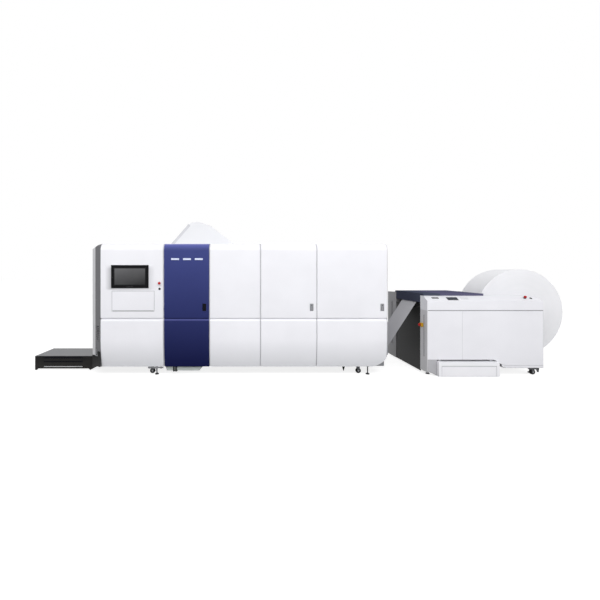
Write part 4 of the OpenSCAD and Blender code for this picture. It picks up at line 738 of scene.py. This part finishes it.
def flap_pieces():
    """Keyboard flap: a finger lip along its top, the keyboard on its back and a seal behind its gap."""
    low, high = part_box("keyboard_flap")
    flap_low_z = low.z + 0.0115
    x0, x1, z1 = low.x + 0.012, high.x - 0.012, high.z
    lip_y = low.y + 0.0045
    bm = bmesh.new()
    add_prism(bm, [(lip_y, z1 - 0.0045), (lip_y, z1 - 0.016), (low.y + 0.008, z1 - 0.016),
                   (low.y + 0.011, z1 - 0.006), (low.y + 0.011, z1 - 0.0045)], "x", x0 + 0.02, x1 - 0.02)
    finish_mesh("flap_finger_lip", bm, "ring", 0.0005, "keyboard_flap")

    middle = (low.x + high.x) / 2
    half_width, low_row, pitch, key = 0.225, flap_low_z + 0.085, 0.0195, 0.0158
    case_y = low.y + 0.0042
    bm = bmesh.new()
    add_prism(bm, rounded_rectangle(middle - half_width, middle + half_width, low_row - 0.016,
                                    low_row + 6 * pitch + 0.006, 0.008), "y", case_y, case_y + 0.014)
    finish_mesh("keyboard_case", bm, "bar", 0.0015, "keyboard_flap")
    bm = bmesh.new()
    for row in range(6):
        z = low_row + row * pitch
        x = middle - half_width + 0.010
        while x + key < middle + half_width - 0.008:
            space_bar = row == 0 and abs(x - middle + 0.062) < 0.010
            between_groups = row == 5 and int((x - middle) / pitch) % 5 == 0
            if between_groups:
                x += pitch
                continue
            wide = key + 0.088 if space_bar else key
            add_box(bm, (x, case_y + 0.0142, z - key / 2), (x + wide, case_y + 0.0185, z + key / 2))
            x += wide + 0.0037
    finish_mesh("keyboard_keys", bm, "black", 0.0012, "keyboard_flap")

    bm = bmesh.new()
    y0, y1 = FRONT + 0.0046, FRONT + 0.0066
    for xa, za, xb, zb in ((x0 - 0.0055, z1 + 0.0005, x1 + 0.0055, z1 + 0.012),
                           (x0 - 0.008, flap_low_z + 0.02, x0 - 0.0012, z1),
                           (x1 + 0.0012, flap_low_z + 0.02, x1 + 0.008, z1),
                           (x0 + 0.008, flap_low_z - 0.0145, x1 - 0.008, flap_low_z - 0.003)):
        add_box(bm, (xa, y0, za), (xb, y1, zb))
    finish_mesh("flap_seal", bm, "seal", 0.0006)


def tray_pieces():
    """Drip tray under the ink module, with its bracket."""
    low_z, high_z, wall = 0.060, 0.118, 0.006
    spread = [(985, high_z), (1002, low_z), (1508, low_z), (1560, high_z)]
    outer = [(line_x(x), z) for x, z in spread]
    inner = [(outer[3][0] - 0.008, high_z), (outer[2][0] - 0.004, low_z + wall),
             (outer[1][0] + 0.004, low_z + wall), (outer[0][0] + 0.008, high_z)]
    y0, y1 = line_y(95), line_y(560)
    bm = bmesh.new()
    add_prism(bm, outer + inner, "y", y0, y1)
    for y in (y0, y1 - wall):
        add_prism(bm, outer, "y", y, y + wall)
    finish_mesh("drip_tray", bm, "tray", 0.0015)
    bm = bmesh.new()
    for x in (1098, 1122, 1146):
        for z0, y1, z1 in ((44, 94, 123), (98, 180, 104), (44, 130, 52)):
            add_box(bm, at(x, 88, z0), at(x + 17, y1, z1))
    add_box(bm, at(1092, 160, 98), at(1168, 172, 123.5))
    finish_mesh("tray_bracket", bm, "black", 0.0015)


def hood_pieces():
    """Exhaust hood: folded left edge, foot flange and clamp on its spigot."""
    low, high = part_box("exhaust_hood")
    foot = (line_x(861), low.z)
    top = (line_x(861 + 0.29 * 1254), low.z + 0.92 * 453 * MM)
    run, rise = top[0] - foot[0], top[1] - foot[1]
    length = math.hypot(run, rise)
    wide = 0.048
    bm = bmesh.new()
    outline = [foot, top, (top[0] + rise / length * wide, top[1] - run / length * wide),
               (foot[0] + wide * length / rise, foot[1])]
    add_prism(bm, outline, "y", low.y - 0.0032, low.y - 0.0002)
    finish_mesh("hood_edge_fold", bm, "fold", 0.0012)

    bm = bmesh.new()
    back_y = low.y + 0.26
    for x, ya, yb, height in ((low.x + 0.02, low.y - 0.020, low.y - 0.0004, 0.0025),
                              (low.x + 0.02, low.y - 0.0032, low.y - 0.0004, 0.018),
                              (low.x, back_y + 0.0004, back_y + 0.020, 0.0025),
                              (low.x, back_y + 0.0004, back_y + 0.0032, 0.018)):
        add_box(bm, (x, ya, low.z), (high.x, yb, low.z + height))
    for i in range(9):
        x = low.x + 0.06 + i * (high.x - low.x - 0.12) / 8
        for y in (low.y - 0.011, back_y + 0.011):
            add_screw(bm, (x, y, low.z + 0.0025), UP)
    finish_mesh("hood_flange", bm, "cover", 0.0006)

    bm = bmesh.new()
    spigot = at(1362.6, 0, 2230.3)
    for outer, height, inset in ((0.1045, 0.012, 0.045), (0.1075, 0.006, 0.0585)):
        add_ring(bm, 0.1003, outer, height, (spigot.x, high.y - inset, spigot.z), TO_BACK, 64)
    add_box(bm, (spigot.x - 0.012, high.y - 0.047, spigot.z + 0.103),
            (spigot.x + 0.012, high.y - 0.031, spigot.z + 0.122))
    finish_mesh("spigot_clamp", bm, "castor", 0.001)


def console_pieces():
    """Display, keys and vent on the console's sloping face."""
    slope_low = at(0, 0, 1154)
    slope_high = Vector((slope_low.x, slope_low.y + 0.120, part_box("unwinder_console")[1].z))
    slope = slope_high - slope_low
    up = slope.normalized()
    out = Vector((0, -up.z, up.y))

    def plate(bm, x0, x1, s0, s1, lift0, lift1):
        """Plate between two places along the line, two shares of the slope and two heights over it."""
        corners = [(x0, s0), (x1, s0), (x1, s1), (x0, s1)]
        add_loft(bm, [[at(x, 0, 1154) + slope * share + out * lift for x, share in corners]
                      for lift in (lift0, lift1)], close=True)

    bm = bmesh.new()
    plate(bm, 5356, 5524, 0.14, 0.70, 0.0002, 0.0030)
    finish_mesh("console_display_frame", bm, "ring", 0.0012)
    bm = bmesh.new()
    plate(bm, 5364, 5516, 0.20, 0.64, 0.0030, 0.0038)
    finish_mesh("console_display", bm, "display", 0.0003)
    bm = bmesh.new()
    for i in range(5):
        for share in (0.30, 0.50):
            plate(bm, 5572 + 24 * i, 5588 + 24 * i, share, share + 0.12, 0.0002, 0.0022)
    finish_mesh("console_keys", bm, "fold")
    bm = bmesh.new()
    plate(bm, 5128, 5236, 0.42, 0.70, 0.0002, 0.0016)
    for i in range(9):
        plate(bm, 5133 + 11.4 * i, 5139 + 11.4 * i, 0.47, 0.65, 0.0016, 0.0034)
    finish_mesh("console_vent", bm, "chamfer", 0.0005)


def stop_caps():
    """A rounded cap on the head of each stop button."""
    profile = [(0, 0.0068), (0.006, 0.0066), (0.012, 0.0056), (0.017, 0.0038), (0.0198, 0.0015),
               (0.0206, 0.0001), (0, 0.0001)]
    slope_out = Vector((0, -72, 120)).normalized()
    engine_low, engine_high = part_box("engine_stop_button")
    side_low, side_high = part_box("side_stop_button")
    engine, side = (engine_low + engine_high) / 2, (side_low + side_high) / 2
    for name, place, axis in (
            ("engine_stop_button", (engine.x, engine_low.y, engine.z), TO_FRONT),
            ("console_stop_button", at(6570, 60, 1190) + slope_out * 0.0363, slope_out),
            ("side_stop_button", (side_low.x, side.y, side.z), (-1, 0, 0))):
        bm = bmesh.new()
        add_lathe(bm, profile, place, axis, 40)
        finish_mesh(name + "_cap", bm, "red", 0.0, name)


def front_strips():
    """Unwinder's front: seam strip, trim over the panels, kick plate and the end of the lower curve."""
    seam = line_x(5569)
    bm = bmesh.new()
    add_box(bm, (seam - 0.0017, FRONT + 0.0006, 0.2515), (seam + 0.0017, FRONT + 0.0040, 0.9995))
    finish_mesh("panel_seam_strip", bm, "fold", 0.0003)
    # Grey trim in the gap under the console: a seal of its own, whose grey also paints the shadow of the
    # console's overhang.
    bm = bmesh.new()
    face, web, back = FRONT - 0.0014, FRONT - 0.0002, FRONT + 0.0030
    add_prism(bm, [(face, 1.0008), (back, 1.0008), (back, 1.0054), (web, 1.0066), (web, 1.0136),
                   (face, 1.0136)], "x", line_x(5033), line_x(6808))
    finish_mesh("console_shadow_trim", bm, "outline", 0.0003)
    # Kick plate in a grey that is painted shade, for the shaded side of the step beside it.
    bm = bmesh.new()
    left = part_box("unwinder_front_cabinet")[0].x + 0.003
    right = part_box("step_box")[0].x - 0.0006
    add_prism(bm, [(left, 0.2505), (right, 0.2505), (right, 0.008), (left, 0.066)], "y",
              FRONT + 0.0030, FRONT + 0.0050)
    finish_mesh("kick_plate", bm, "kick", 0.0005)
    bm = bmesh.new()
    curve_end = [(6235.5, 158), (6236.5, 126.5), (6205, 133), (6174, 152), (6172, 175)]
    add_prism(bm, [(line_x(x), z * MM) for x, z in curve_end], "y", FRONT + 0.0004, FRONT + 0.0030)
    finish_mesh("curve_end_trim", bm, "white", 0.0003)


def side_channels():
    """Grooves on the unwinder's left sides, drawn as slim channels."""
    bm = bmesh.new()
    x1 = line_x(UNWINDER_X) - 0.0002
    for y, z0, z1 in ((100, 280, 930), (1275, 250, 1050), (1330, 250, 1050)):
        y0, z0, z1 = line_y(y), z0 * MM, z1 * MM
        for side in (-0.006, 0.0035):
            add_box(bm, (x1 - 0.002, y0 + side, z0), (x1, y0 + side + 0.0025, z1))
        for z in (z0, z1):
            add_box(bm, (x1 - 0.002, y0 - 0.006, z), (x1, y0 + 0.006, z + 0.0025))
        add_box(bm, (x1 - 0.0006, y0 - 0.0035, z0), (x1, y0 + 0.0035, z1))
    finish_mesh("side_channels", bm, "chamfer", 0.0003)


def light_bezels():
    """A thin bezel round each of the ink door's three diffusers."""
    low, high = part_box("ink_door_lights")
    count, pitch = 3, 0.182
    width = high.x - low.x - (count - 1) * pitch
    bm = bmesh.new()
    for i in range(count):
        x0 = low.x + i * pitch
        loops = [
            [(x, FRONT - lift, z) for x, z in rounded_rectangle(
                x0 - grow, x0 + width + grow, low.z - grow, high.z + grow, radius)]
            for grow, lift, radius in ((0.0035, 0.0002, 0.005), (0.0030, 0.0028, 0.0045),
                                       (0.0004, 0.0034, 0.002), (0.0004, 0.0002, 0.002))]
        add_loft(bm, loops + [loops[0]])
    merge_points(bm)
    finish_mesh("light_bezels", bm, "blue", 0.0, "ink_door")


def tunnel_pieces():
    """Dark channels in the grooves of the front plate, a light strip in its slot, and screws on top."""
    low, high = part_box("tunnel_side_plates")
    top_low, top_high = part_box("tunnel_top_plate")
    length = 1.019
    x0 = top_low.x + 0.14 * length
    x1 = x0 + 0.62 * length
    bm = bmesh.new()
    for share in (0.85, 0.576):
        z = share * top_high.z
        for z0, z1 in ((z - 0.004, z + 0.001), (z + 0.011, z + 0.016)):
            add_box(bm, (x0 - 0.004, low.y - 0.0022, z0), (x1 + 0.004, low.y - 0.0001, z1))
        add_box(bm, (x0, low.y + 0.0045, z + 0.0005), (x1, low.y + 0.0059, z + 0.0115))
    finish_mesh("tunnel_channels", bm, "ink_latch", 0.0005)
    bm = bmesh.new()
    add_box(bm, (x0 + 0.004, low.y + 0.0005, 0.0495), (x1 - 0.004, low.y + 0.0090, 0.0585))
    finish_mesh("tunnel_strip", bm, "fold", 0.0012)
    bm = bmesh.new()
    for i in range(5):
        x = top_low.x + 0.05 + i * (top_high.x - top_low.x - 0.10) / 4
        for y in (top_low.y + 0.02, top_high.y - 0.02):
            add_screw(bm, (x, y, top_high.z), UP, 0.006, 0.0024)
    finish_mesh("tunnel_screws", bm, "castor", 0.0)


def collar_pieces():
    """Tunnel's end: a dark collar round the foot of the left end cover, and its bracket."""
    # Each row: place on the cover, the way out of it, and the collar's lower and upper height there
    rows = (((-3, 2.5), (-0.643, -0.766), 0.1325, 0.372), ((-60, 50.4), (-0.643, -0.766), 0.1325, 0.372),
            ((-82, 68.9), (-0.643, -0.766), 0.1325, 0.322), ((-119, 100), (-0.630, -0.777), 0.118, 0.300),
            ((-183, 150), (-0.88, -0.47), 0.094, 0.296), ((-183, 341), (-1, 0), 0.094, 0.292))
    loops = []
    for (x, y), (nx, ny), low, top in rows:
        near, far = at(x + nx * 0.4, y + ny * 0.4, 0), at(x + nx * 3.6, y + ny * 3.6, 0)
        loops.append([(near.x, near.y, low), (far.x, far.y, low),
                      (far.x, far.y, top), (near.x, near.y, top)])
    bm = bmesh.new()
    add_loft(bm, loops, close=True)
    finish_mesh("tunnel_collar", bm, "tunnel_side")

    run, out = Vector((-0.7656, 0.6433, 0)), Vector((-0.6433, -0.7656, 0))

    def on_cover(u, v, lift):
        return at(-86, 72.3, 0) + run * u * MM + out * lift + Vector((0, 0, v * MM))

    bm = bmesh.new()
    for outline in (((-30, 304), (-18, 304), (-2, 390), (-9, 390)),
                    ((18, 304), (30, 304), (9, 390), (2, 390)),
                    ((-34, 292), (34, 292), (30, 304), (-30, 304)),
                    ((-9, 390), (9, 390), (7, 404), (-7, 404))):
        add_loft(bm, [[on_cover(u, v, lift) for u, v in outline] for lift in (0.0037, 0.0072)], close=True)
    for u, v in ((-24, 298), (24, 298), (0, 397)):
        add_screw(bm, on_cover(u, v, 0.0072), out, 0.0045)
    finish_mesh("tunnel_bracket", bm, "castor")


def step_pieces():
    """The step's lift-off front is outlined in its recess, and the tread has rubber ribs."""
    low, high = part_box("step_box")
    top, y = 0.224, low.y
    x0, x1, z0, z1 = low.x + 0.0445, high.x - 0.0445, 0.008, 0.1665
    bm = bmesh.new()
    for xa, za, xb in ((x0, z1 - 0.012, x1), (x0, z0, x0 + 0.005), (x1 - 0.005, z0, x1)):
        add_box(bm, (xa, y + 0.0004, za), (xb, y + 0.0018, z1))
    finish_mesh("step_front_line", bm, "fold", 0.0003)
    bm = bmesh.new()
    for i in range(7):
        rib_y = y + 0.010 + i * 0.0065
        add_box(bm, (low.x + 0.03, rib_y, top), (high.x - 0.03, rib_y + 0.0035, top + 0.0016))
    finish_mesh("step_treads", bm, "fold", 0.0006)


def latch_pieces():
    """Finger cup and lock barrel on each door's paddle."""
    barrel = [(0, 0.0010), (0.0022, 0.0010), (0.0030, 0.0022), (0.0085, 0.0022), (0.0095, 0.0012),
              (0.0095, 0.0001), (0, 0.0001)]
    for door in DOORS:
        low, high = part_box(door + "_latch")
        z1 = high.z - 0.006
        outer = rounded_rectangle(low.x + 0.012, high.x - 0.006, low.z + 0.012, z1 - 0.045, 0.006)
        inner = rounded_rectangle(low.x + 0.015, high.x - 0.009, low.z + 0.015, z1 - 0.048, 0.004)
        bm = bmesh.new()
        add_loft(bm, [[(x, low.y - lift, z) for x, z in outline] for outline, lift in (
            (outer, 0.0001), (outer, 0.0016), (inner, 0.0016), (inner, 0.0004))])
        add_lathe(bm, barrel, ((low.x + high.x) / 2 + 0.002, low.y, z1 - 0.022), TO_FRONT, 24)
        key = "black" if door == "ink_door" else "ring"
        finish_mesh(door + "_latch_cup", bm, key, 0.0003, door + "_latch")


def rear_pieces():
    """Rear covers: quarter-turn fasteners and the cable gland."""
    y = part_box("rear_covers")[1].y
    bm = bmesh.new()
    for left, right in zip(JOINTS, JOINTS[1:]):
        for z in (0.165, 0.51, 0.845, 0.93, 1.45, 2.0):
            for x in (line_x(left) + 0.035, line_x(right) - 0.035):
                add_fastener(bm, (x, y, z), TO_BACK, TO_RIGHT)
    finish_mesh("rear_fasteners", bm, "castor", 0.0003)
    bm = bmesh.new()
    gland = at(250, 0, 330)
    for outer, height, steps in ((0.036, 0.007, 6), (0.031, 0.014, 40)):
        add_ring(bm, 0.0255, outer, height, (gland.x, y + 0.0002, gland.z), TO_BACK, steps)
    finish_mesh("gland_nut", bm, "black")


def door_pieces():
    """Stiffening ribs on the inside of each door; the low ones end before its latch."""
    for door, module in DOORS.items():
        left, right = JOINTS[module] + 8, JOINTS[module + 1] - 8
        bm = bmesh.new()
        for z in (930, 1150, 1480, 1700) if door == "ink_door" else (980, 1220, 1480, 1740):
            end = right - 120 if z < 1150 else right - 30
            add_prism(bm, [(line_y(4.2), z * MM), (line_y(4.2), (z + 46) * MM), (line_y(22), (z + 36) * MM),
                           (line_y(22), (z + 10) * MM)], "x", line_x(left + 60), line_x(end))
        finish_mesh(door + "_ribs", bm, "cover", 0.001, door)


def cover_fasteners():
    """Quarter-turn fasteners on the roof, clear of the hood, and on the right end cover."""
    bm = bmesh.new()
    roof_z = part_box("roof_cover")[1].z
    for left, right in zip(JOINTS, JOINTS[1:]):
        for x in (left + 40, right - 40):
            for y in (160, 660, 1300, 1790):
                in_hood = 861 - 30 < x < 2115 + 30 and 900 - 40 < y < 1160 + 40
                if not in_hood:
                    add_fastener(bm, (line_x(x), line_y(y), roof_z), UP, TO_RIGHT)
    end_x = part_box("right_end_cover")[1].x
    for y in (130, 925, 1720):
        for z in (0.40, 0.90, 1.40, 1.90):
            add_fastener(bm, (end_x, line_y(y), z), TO_RIGHT, TO_BACK)
    finish_mesh("cover_fasteners", bm, "castor", 0.0003)


def service_covers():
    """Unwinder: raised service covers on its back and right end."""
    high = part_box("unwinder_rear_cabinet")[1]
    covers, screws = bmesh.new(), bmesh.new()
    for x0, x1 in ((5060, 5630), (5650, 6190), (6210, 6780)):
        add_prism(covers, rounded_rectangle(line_x(x0), line_x(x1), 0.16, 1.10, 0.02), "y",
                  high.y + 0.0002, high.y + 0.0024)
        for x in (x0 + 35, x1 - 35):
            for z in (0.20, 0.63, 1.06):
                add_fastener(screws, (line_x(x), high.y + 0.0024, z), TO_BACK, UP)
    for y0, y1, z0, z1 in ((1150, 1460, 0.16, 1.10), (30, 190, 0.20, 0.96)):
        add_prism(covers, rounded_rectangle(line_y(y0), line_y(y1), z0, z1, 0.02), "x",
                  high.x + 0.0002, high.x + 0.0024)
        for y in (y0 + 30, y1 - 30):
            for z in (z0 + 0.04, z1 - 0.04):
                add_fastener(screws, (high.x + 0.0024, line_y(y), z), TO_RIGHT, TO_BACK)
    # The covers take the rear cabinet's grey, which holds painted shade.
    finish_mesh("service_covers", covers, "rear_shaded_grey")
    finish_mesh("service_fasteners", screws, "castor", 0.0003)


def castor_nuts():
    """Nuts on the axles of the castors, outside the forks."""
    bm = bmesh.new()
    nut = [(0, 0.0062), (0.0068, 0.0062), (0.0085, 0.0050), (0.0085, 0.0004), (0.011, 0.0004), (0.011, 0),
           (0, 0)]
    for x, centres in ((766, (155, 1815.7)), (4012, (155, 1815.7)), (6701, (80, 1305))):
        for centre in centres:
            for side in (-1, 1):
                add_lathe(bm, nut, (line_x(x), line_y(centre + side * 23.1), 0.045), (0, side, 0), 6)
    finish_mesh("castor_nuts", bm, "castor", 0.0003)


def core_flanges():
    """A clamping flange with bolts at each end of the roll's core."""
    bm = bmesh.new()
    for y, side in ((roll_low.y, -1), (roll_high.y, 1)):
        axis, face_y = (0, side, 0), y + side * 0.0104
        add_ring(bm, 0.052, 0.092, 0.010, (roll_centre.x, y + side * 0.0004, roll_centre.z), axis, 48)
        add_ring(bm, 0.052, 0.066, 0.030, (roll_centre.x, face_y, roll_centre.z), axis, 48)
        for i in range(6):
            a = math.radians(60 * i + 30)
            bolt = (roll_centre.x + 0.079 * math.cos(a), face_y, roll_centre.z + 0.079 * math.sin(a))
            add_screw(bm, bolt, axis, 0.006, 0.005)
    finish_mesh("core_flanges", bm, "aluminium", body="paper_roll")


def tank_pieces():
    """Ink tanks: ribbed caps, blank plates with a colour chip, and level windows."""
    tank_x, pitch, width, front, ribs = 1012.3, 158.35, 144.35, 139, 20

    def panel(bm, x0, x1, z0, z1, radius, far, near):
        """Rounded plate on a tank's front, between two distances before it in millimetres."""
        add_prism(bm, rounded_rectangle(line_x(x0), line_x(x1), z0, z1, radius), "y",
                  line_y(front - far), line_y(front - near))

    cap = [(0, 0.0147), (0.0306, 0.0147), (0.0306, 0), (0.036, 0), (0.037, 0.002), (0.037, 0.0155),
           (0.034, 0.0185), (0, 0.0185)]
    plates, windows = bmesh.new(), bmesh.new()
    for i, key in enumerate(("cyan", "magenta", "amber", "black")):
        x = tank_x + i * pitch
        neck = at(x + width / 2, 197, 1150)
        bm = bmesh.new()
        add_lathe(bm, cap, neck, UP, 40)
        for k in range(ribs):
            turn = Matrix.Translation(neck) @ Matrix.Rotation(2 * math.pi * k / ribs, 4, "Z")
            add_box(bm, (0.0366, -0.0016, 0.002), (0.0388, 0.0016, 0.0145), turn)
        panel(bm, x + 22, x + 46, 0.960, 0.984, 0.003, 1.6, 0.9)
        panel(bm, x + 120, x + 128, 0.760, 1.010 - 0.02 * i, 0.003, 1.0, 0.3)
        finish_mesh(f"ink_cap_{i}", bm, key, 0.0006)
        panel(plates, x + 16, x + 108, 0.950, 1.030, 0.005, 0.9, 0.1)
        panel(windows, x + 116, x + 132, 0.750, 1.085, 0.006, 0.3, 0.05)
    finish_mesh("tank_plates", plates, "white", 0.0003)
    finish_mesh("tank_windows", windows, "tray", 0.0)


def print_bar_pieces():
    """Print bars: connectors on their upper boxes, a lifting handle and a status light at each front."""
    low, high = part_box("print_bars")
    bar_x, pitch, top = 2611, 188.7, 1.4445
    # Outer and inner edge of a handle's left half, as distances from its end and its foot
    outside = [(0, 0), (0, 0.026), (0.006, 0.032)]
    inside = [(0.010, 0.024), (0.008, 0.022), (0.008, 0)]
    reach = 0.070
    y0 = low.y + 0.018
    path = [(y0 + u, top + v) for u, v in outside]
    path += [(y0 + reach - u, top + v) for u, v in reversed(outside)]
    path += [(y0 + reach - u, top + v) for u, v in reversed(inside)]
    path += [(y0 + u, top + v) for u, v in inside]
    blocks, handles, lights = bmesh.new(), bmesh.new(), bmesh.new()
    for i in range(4):
        x = line_x(bar_x + i * pitch)
        for k in range(4):
            y = line_y(520 + 70 * k)
            add_box(blocks, (x - 0.016, y, high.z), (x + 0.016, y + 0.034, high.z + 0.014))
            add_box(blocks, (x - 0.010, y + 0.005, high.z + 0.014), (x + 0.010, y + 0.029, high.z + 0.020))
        add_prism(handles, path, "x", x - 0.006, x + 0.006)
        add_lathe(lights, [(0, 0.0025), (0.003, 0.0022), (0.0045, 0), (0, 0)],
                  (x + 0.030, low.y + 0.020, top + 0.0002), UP, 20)
    finish_mesh("bar_connectors", blocks, "black", 0.0012, "print_carriage")
    finish_mesh("bar_handles", handles, "aluminium", 0.0012, "print_carriage")
    finish_mesh("bar_lights", lights, "light_bar", 0.0, "print_carriage")


for build in (monitor_pieces, gap_pieces, underside_pieces, flap_pieces, tray_pieces, hood_pieces,
              console_pieces, stop_caps, front_strips, side_channels, light_bezels, tunnel_pieces,
              collar_pieces, step_pieces, latch_pieces, rear_pieces, door_pieces, cover_fasteners,
              service_covers, castor_nuts, core_flanges, tank_pieces, print_bar_pieces):
    build()


# Stage, light and world

FLOOR_SHARE = 0.40
FLOOR_GLOW = 0.82
FLOOR_REACH = 60
SKY = 0.38


def seen_directly(tree):
    """1 for rays of the camera, of reflections and through glass, 0 for the light that falls on things."""
    path = new_node(tree, "LightPath").outputs
    either = math_of(tree, "MAXIMUM", path["Is Camera Ray"], path["Is Glossy Ray"])
    return math_of(tree, "MAXIMUM", either, path["Is Transmission Ray"])


def make_floor():
    material, tree, shader = new_material("floor")
    feed(tree, shader, {"Base Color": (FLOOR_SHARE, FLOOR_SHARE, FLOOR_SHARE, 1), "Roughness": 0.9,
                        "Specular IOR Level": 0.0})
    level = in_range(tree, seen_directly(tree), 0, FLOOR_GLOW, 0, 1)
    glow = new_node(tree, "Emission", {"Strength": level}).outputs["Emission"]
    both = new_node(tree, "AddShader", {0: shader.outputs["BSDF"], 1: glow}).outputs["Shader"]
    feed(tree, tree.nodes["Material Output"], {"Surface": both})
    bm = bmesh.new()
    add_box(bm, (-FLOOR_REACH, -FLOOR_REACH, -0.02), (FLOOR_REACH, FLOOR_REACH, 0))
    mesh_object("floor", bm, material)


def make_world():
    world = bpy.data.worlds.new("world")
    scene.world = world
    world.use_nodes = True
    tree = world.node_tree
    strength = in_range(tree, seen_directly(tree), SKY, 1, 0, 1)
    feed(tree, tree.nodes["Background"], {"Color": WHITE, "Strength": strength})


def add_lamp(name, kind, strength, source):
    """Lamp that shines from the direction of source towards the line."""
    data = bpy.data.lights.new(name, kind)
    data.energy = strength
    lamp = bpy.data.objects.new(name, data)
    scene.collection.objects.link(lamp)
    lamp.rotation_mode = "QUATERNION"
    lamp.rotation_quaternion = source.to_track_quat("Z", "Y")
    return lamp


def add_sun(name, strength, angle, elevation, azimuth):
    """Soft distant lamp. Azimuth 0 shines from the front, 90 from the right."""
    e, a = math.radians(elevation), math.radians(azimuth)
    source = Vector((math.sin(a) * math.cos(e), -math.cos(a) * math.cos(e), math.sin(e)))
    add_lamp(name, "SUN", strength, source).data.angle = math.radians(angle)


def add_softbox(name, power, size, place, target):
    """Long soft lamp over the line, which the camera doesn't see."""
    lamp = add_lamp(name, "AREA", power, Vector(place) - Vector(target))
    lamp.data.shape = "RECTANGLE"
    lamp.data.size, lamp.data.size_y = size
    lamp.location = place
    lamp.visible_camera = False


make_floor()
make_world()
add_softbox("front_softbox", 361, (15, 2.5), (0.3, -4.8, 4.7), (0.3, -0.9, 1.0))
add_softbox("rear_softbox", 170, (13, 2.5), (0.6, 5.6, 4.0), (0.6, 0.95, 1.0))
add_sun("front_light", 0.53, 40, 16, 8)
add_sun("back_light", 0.28, 50, 42, 168)
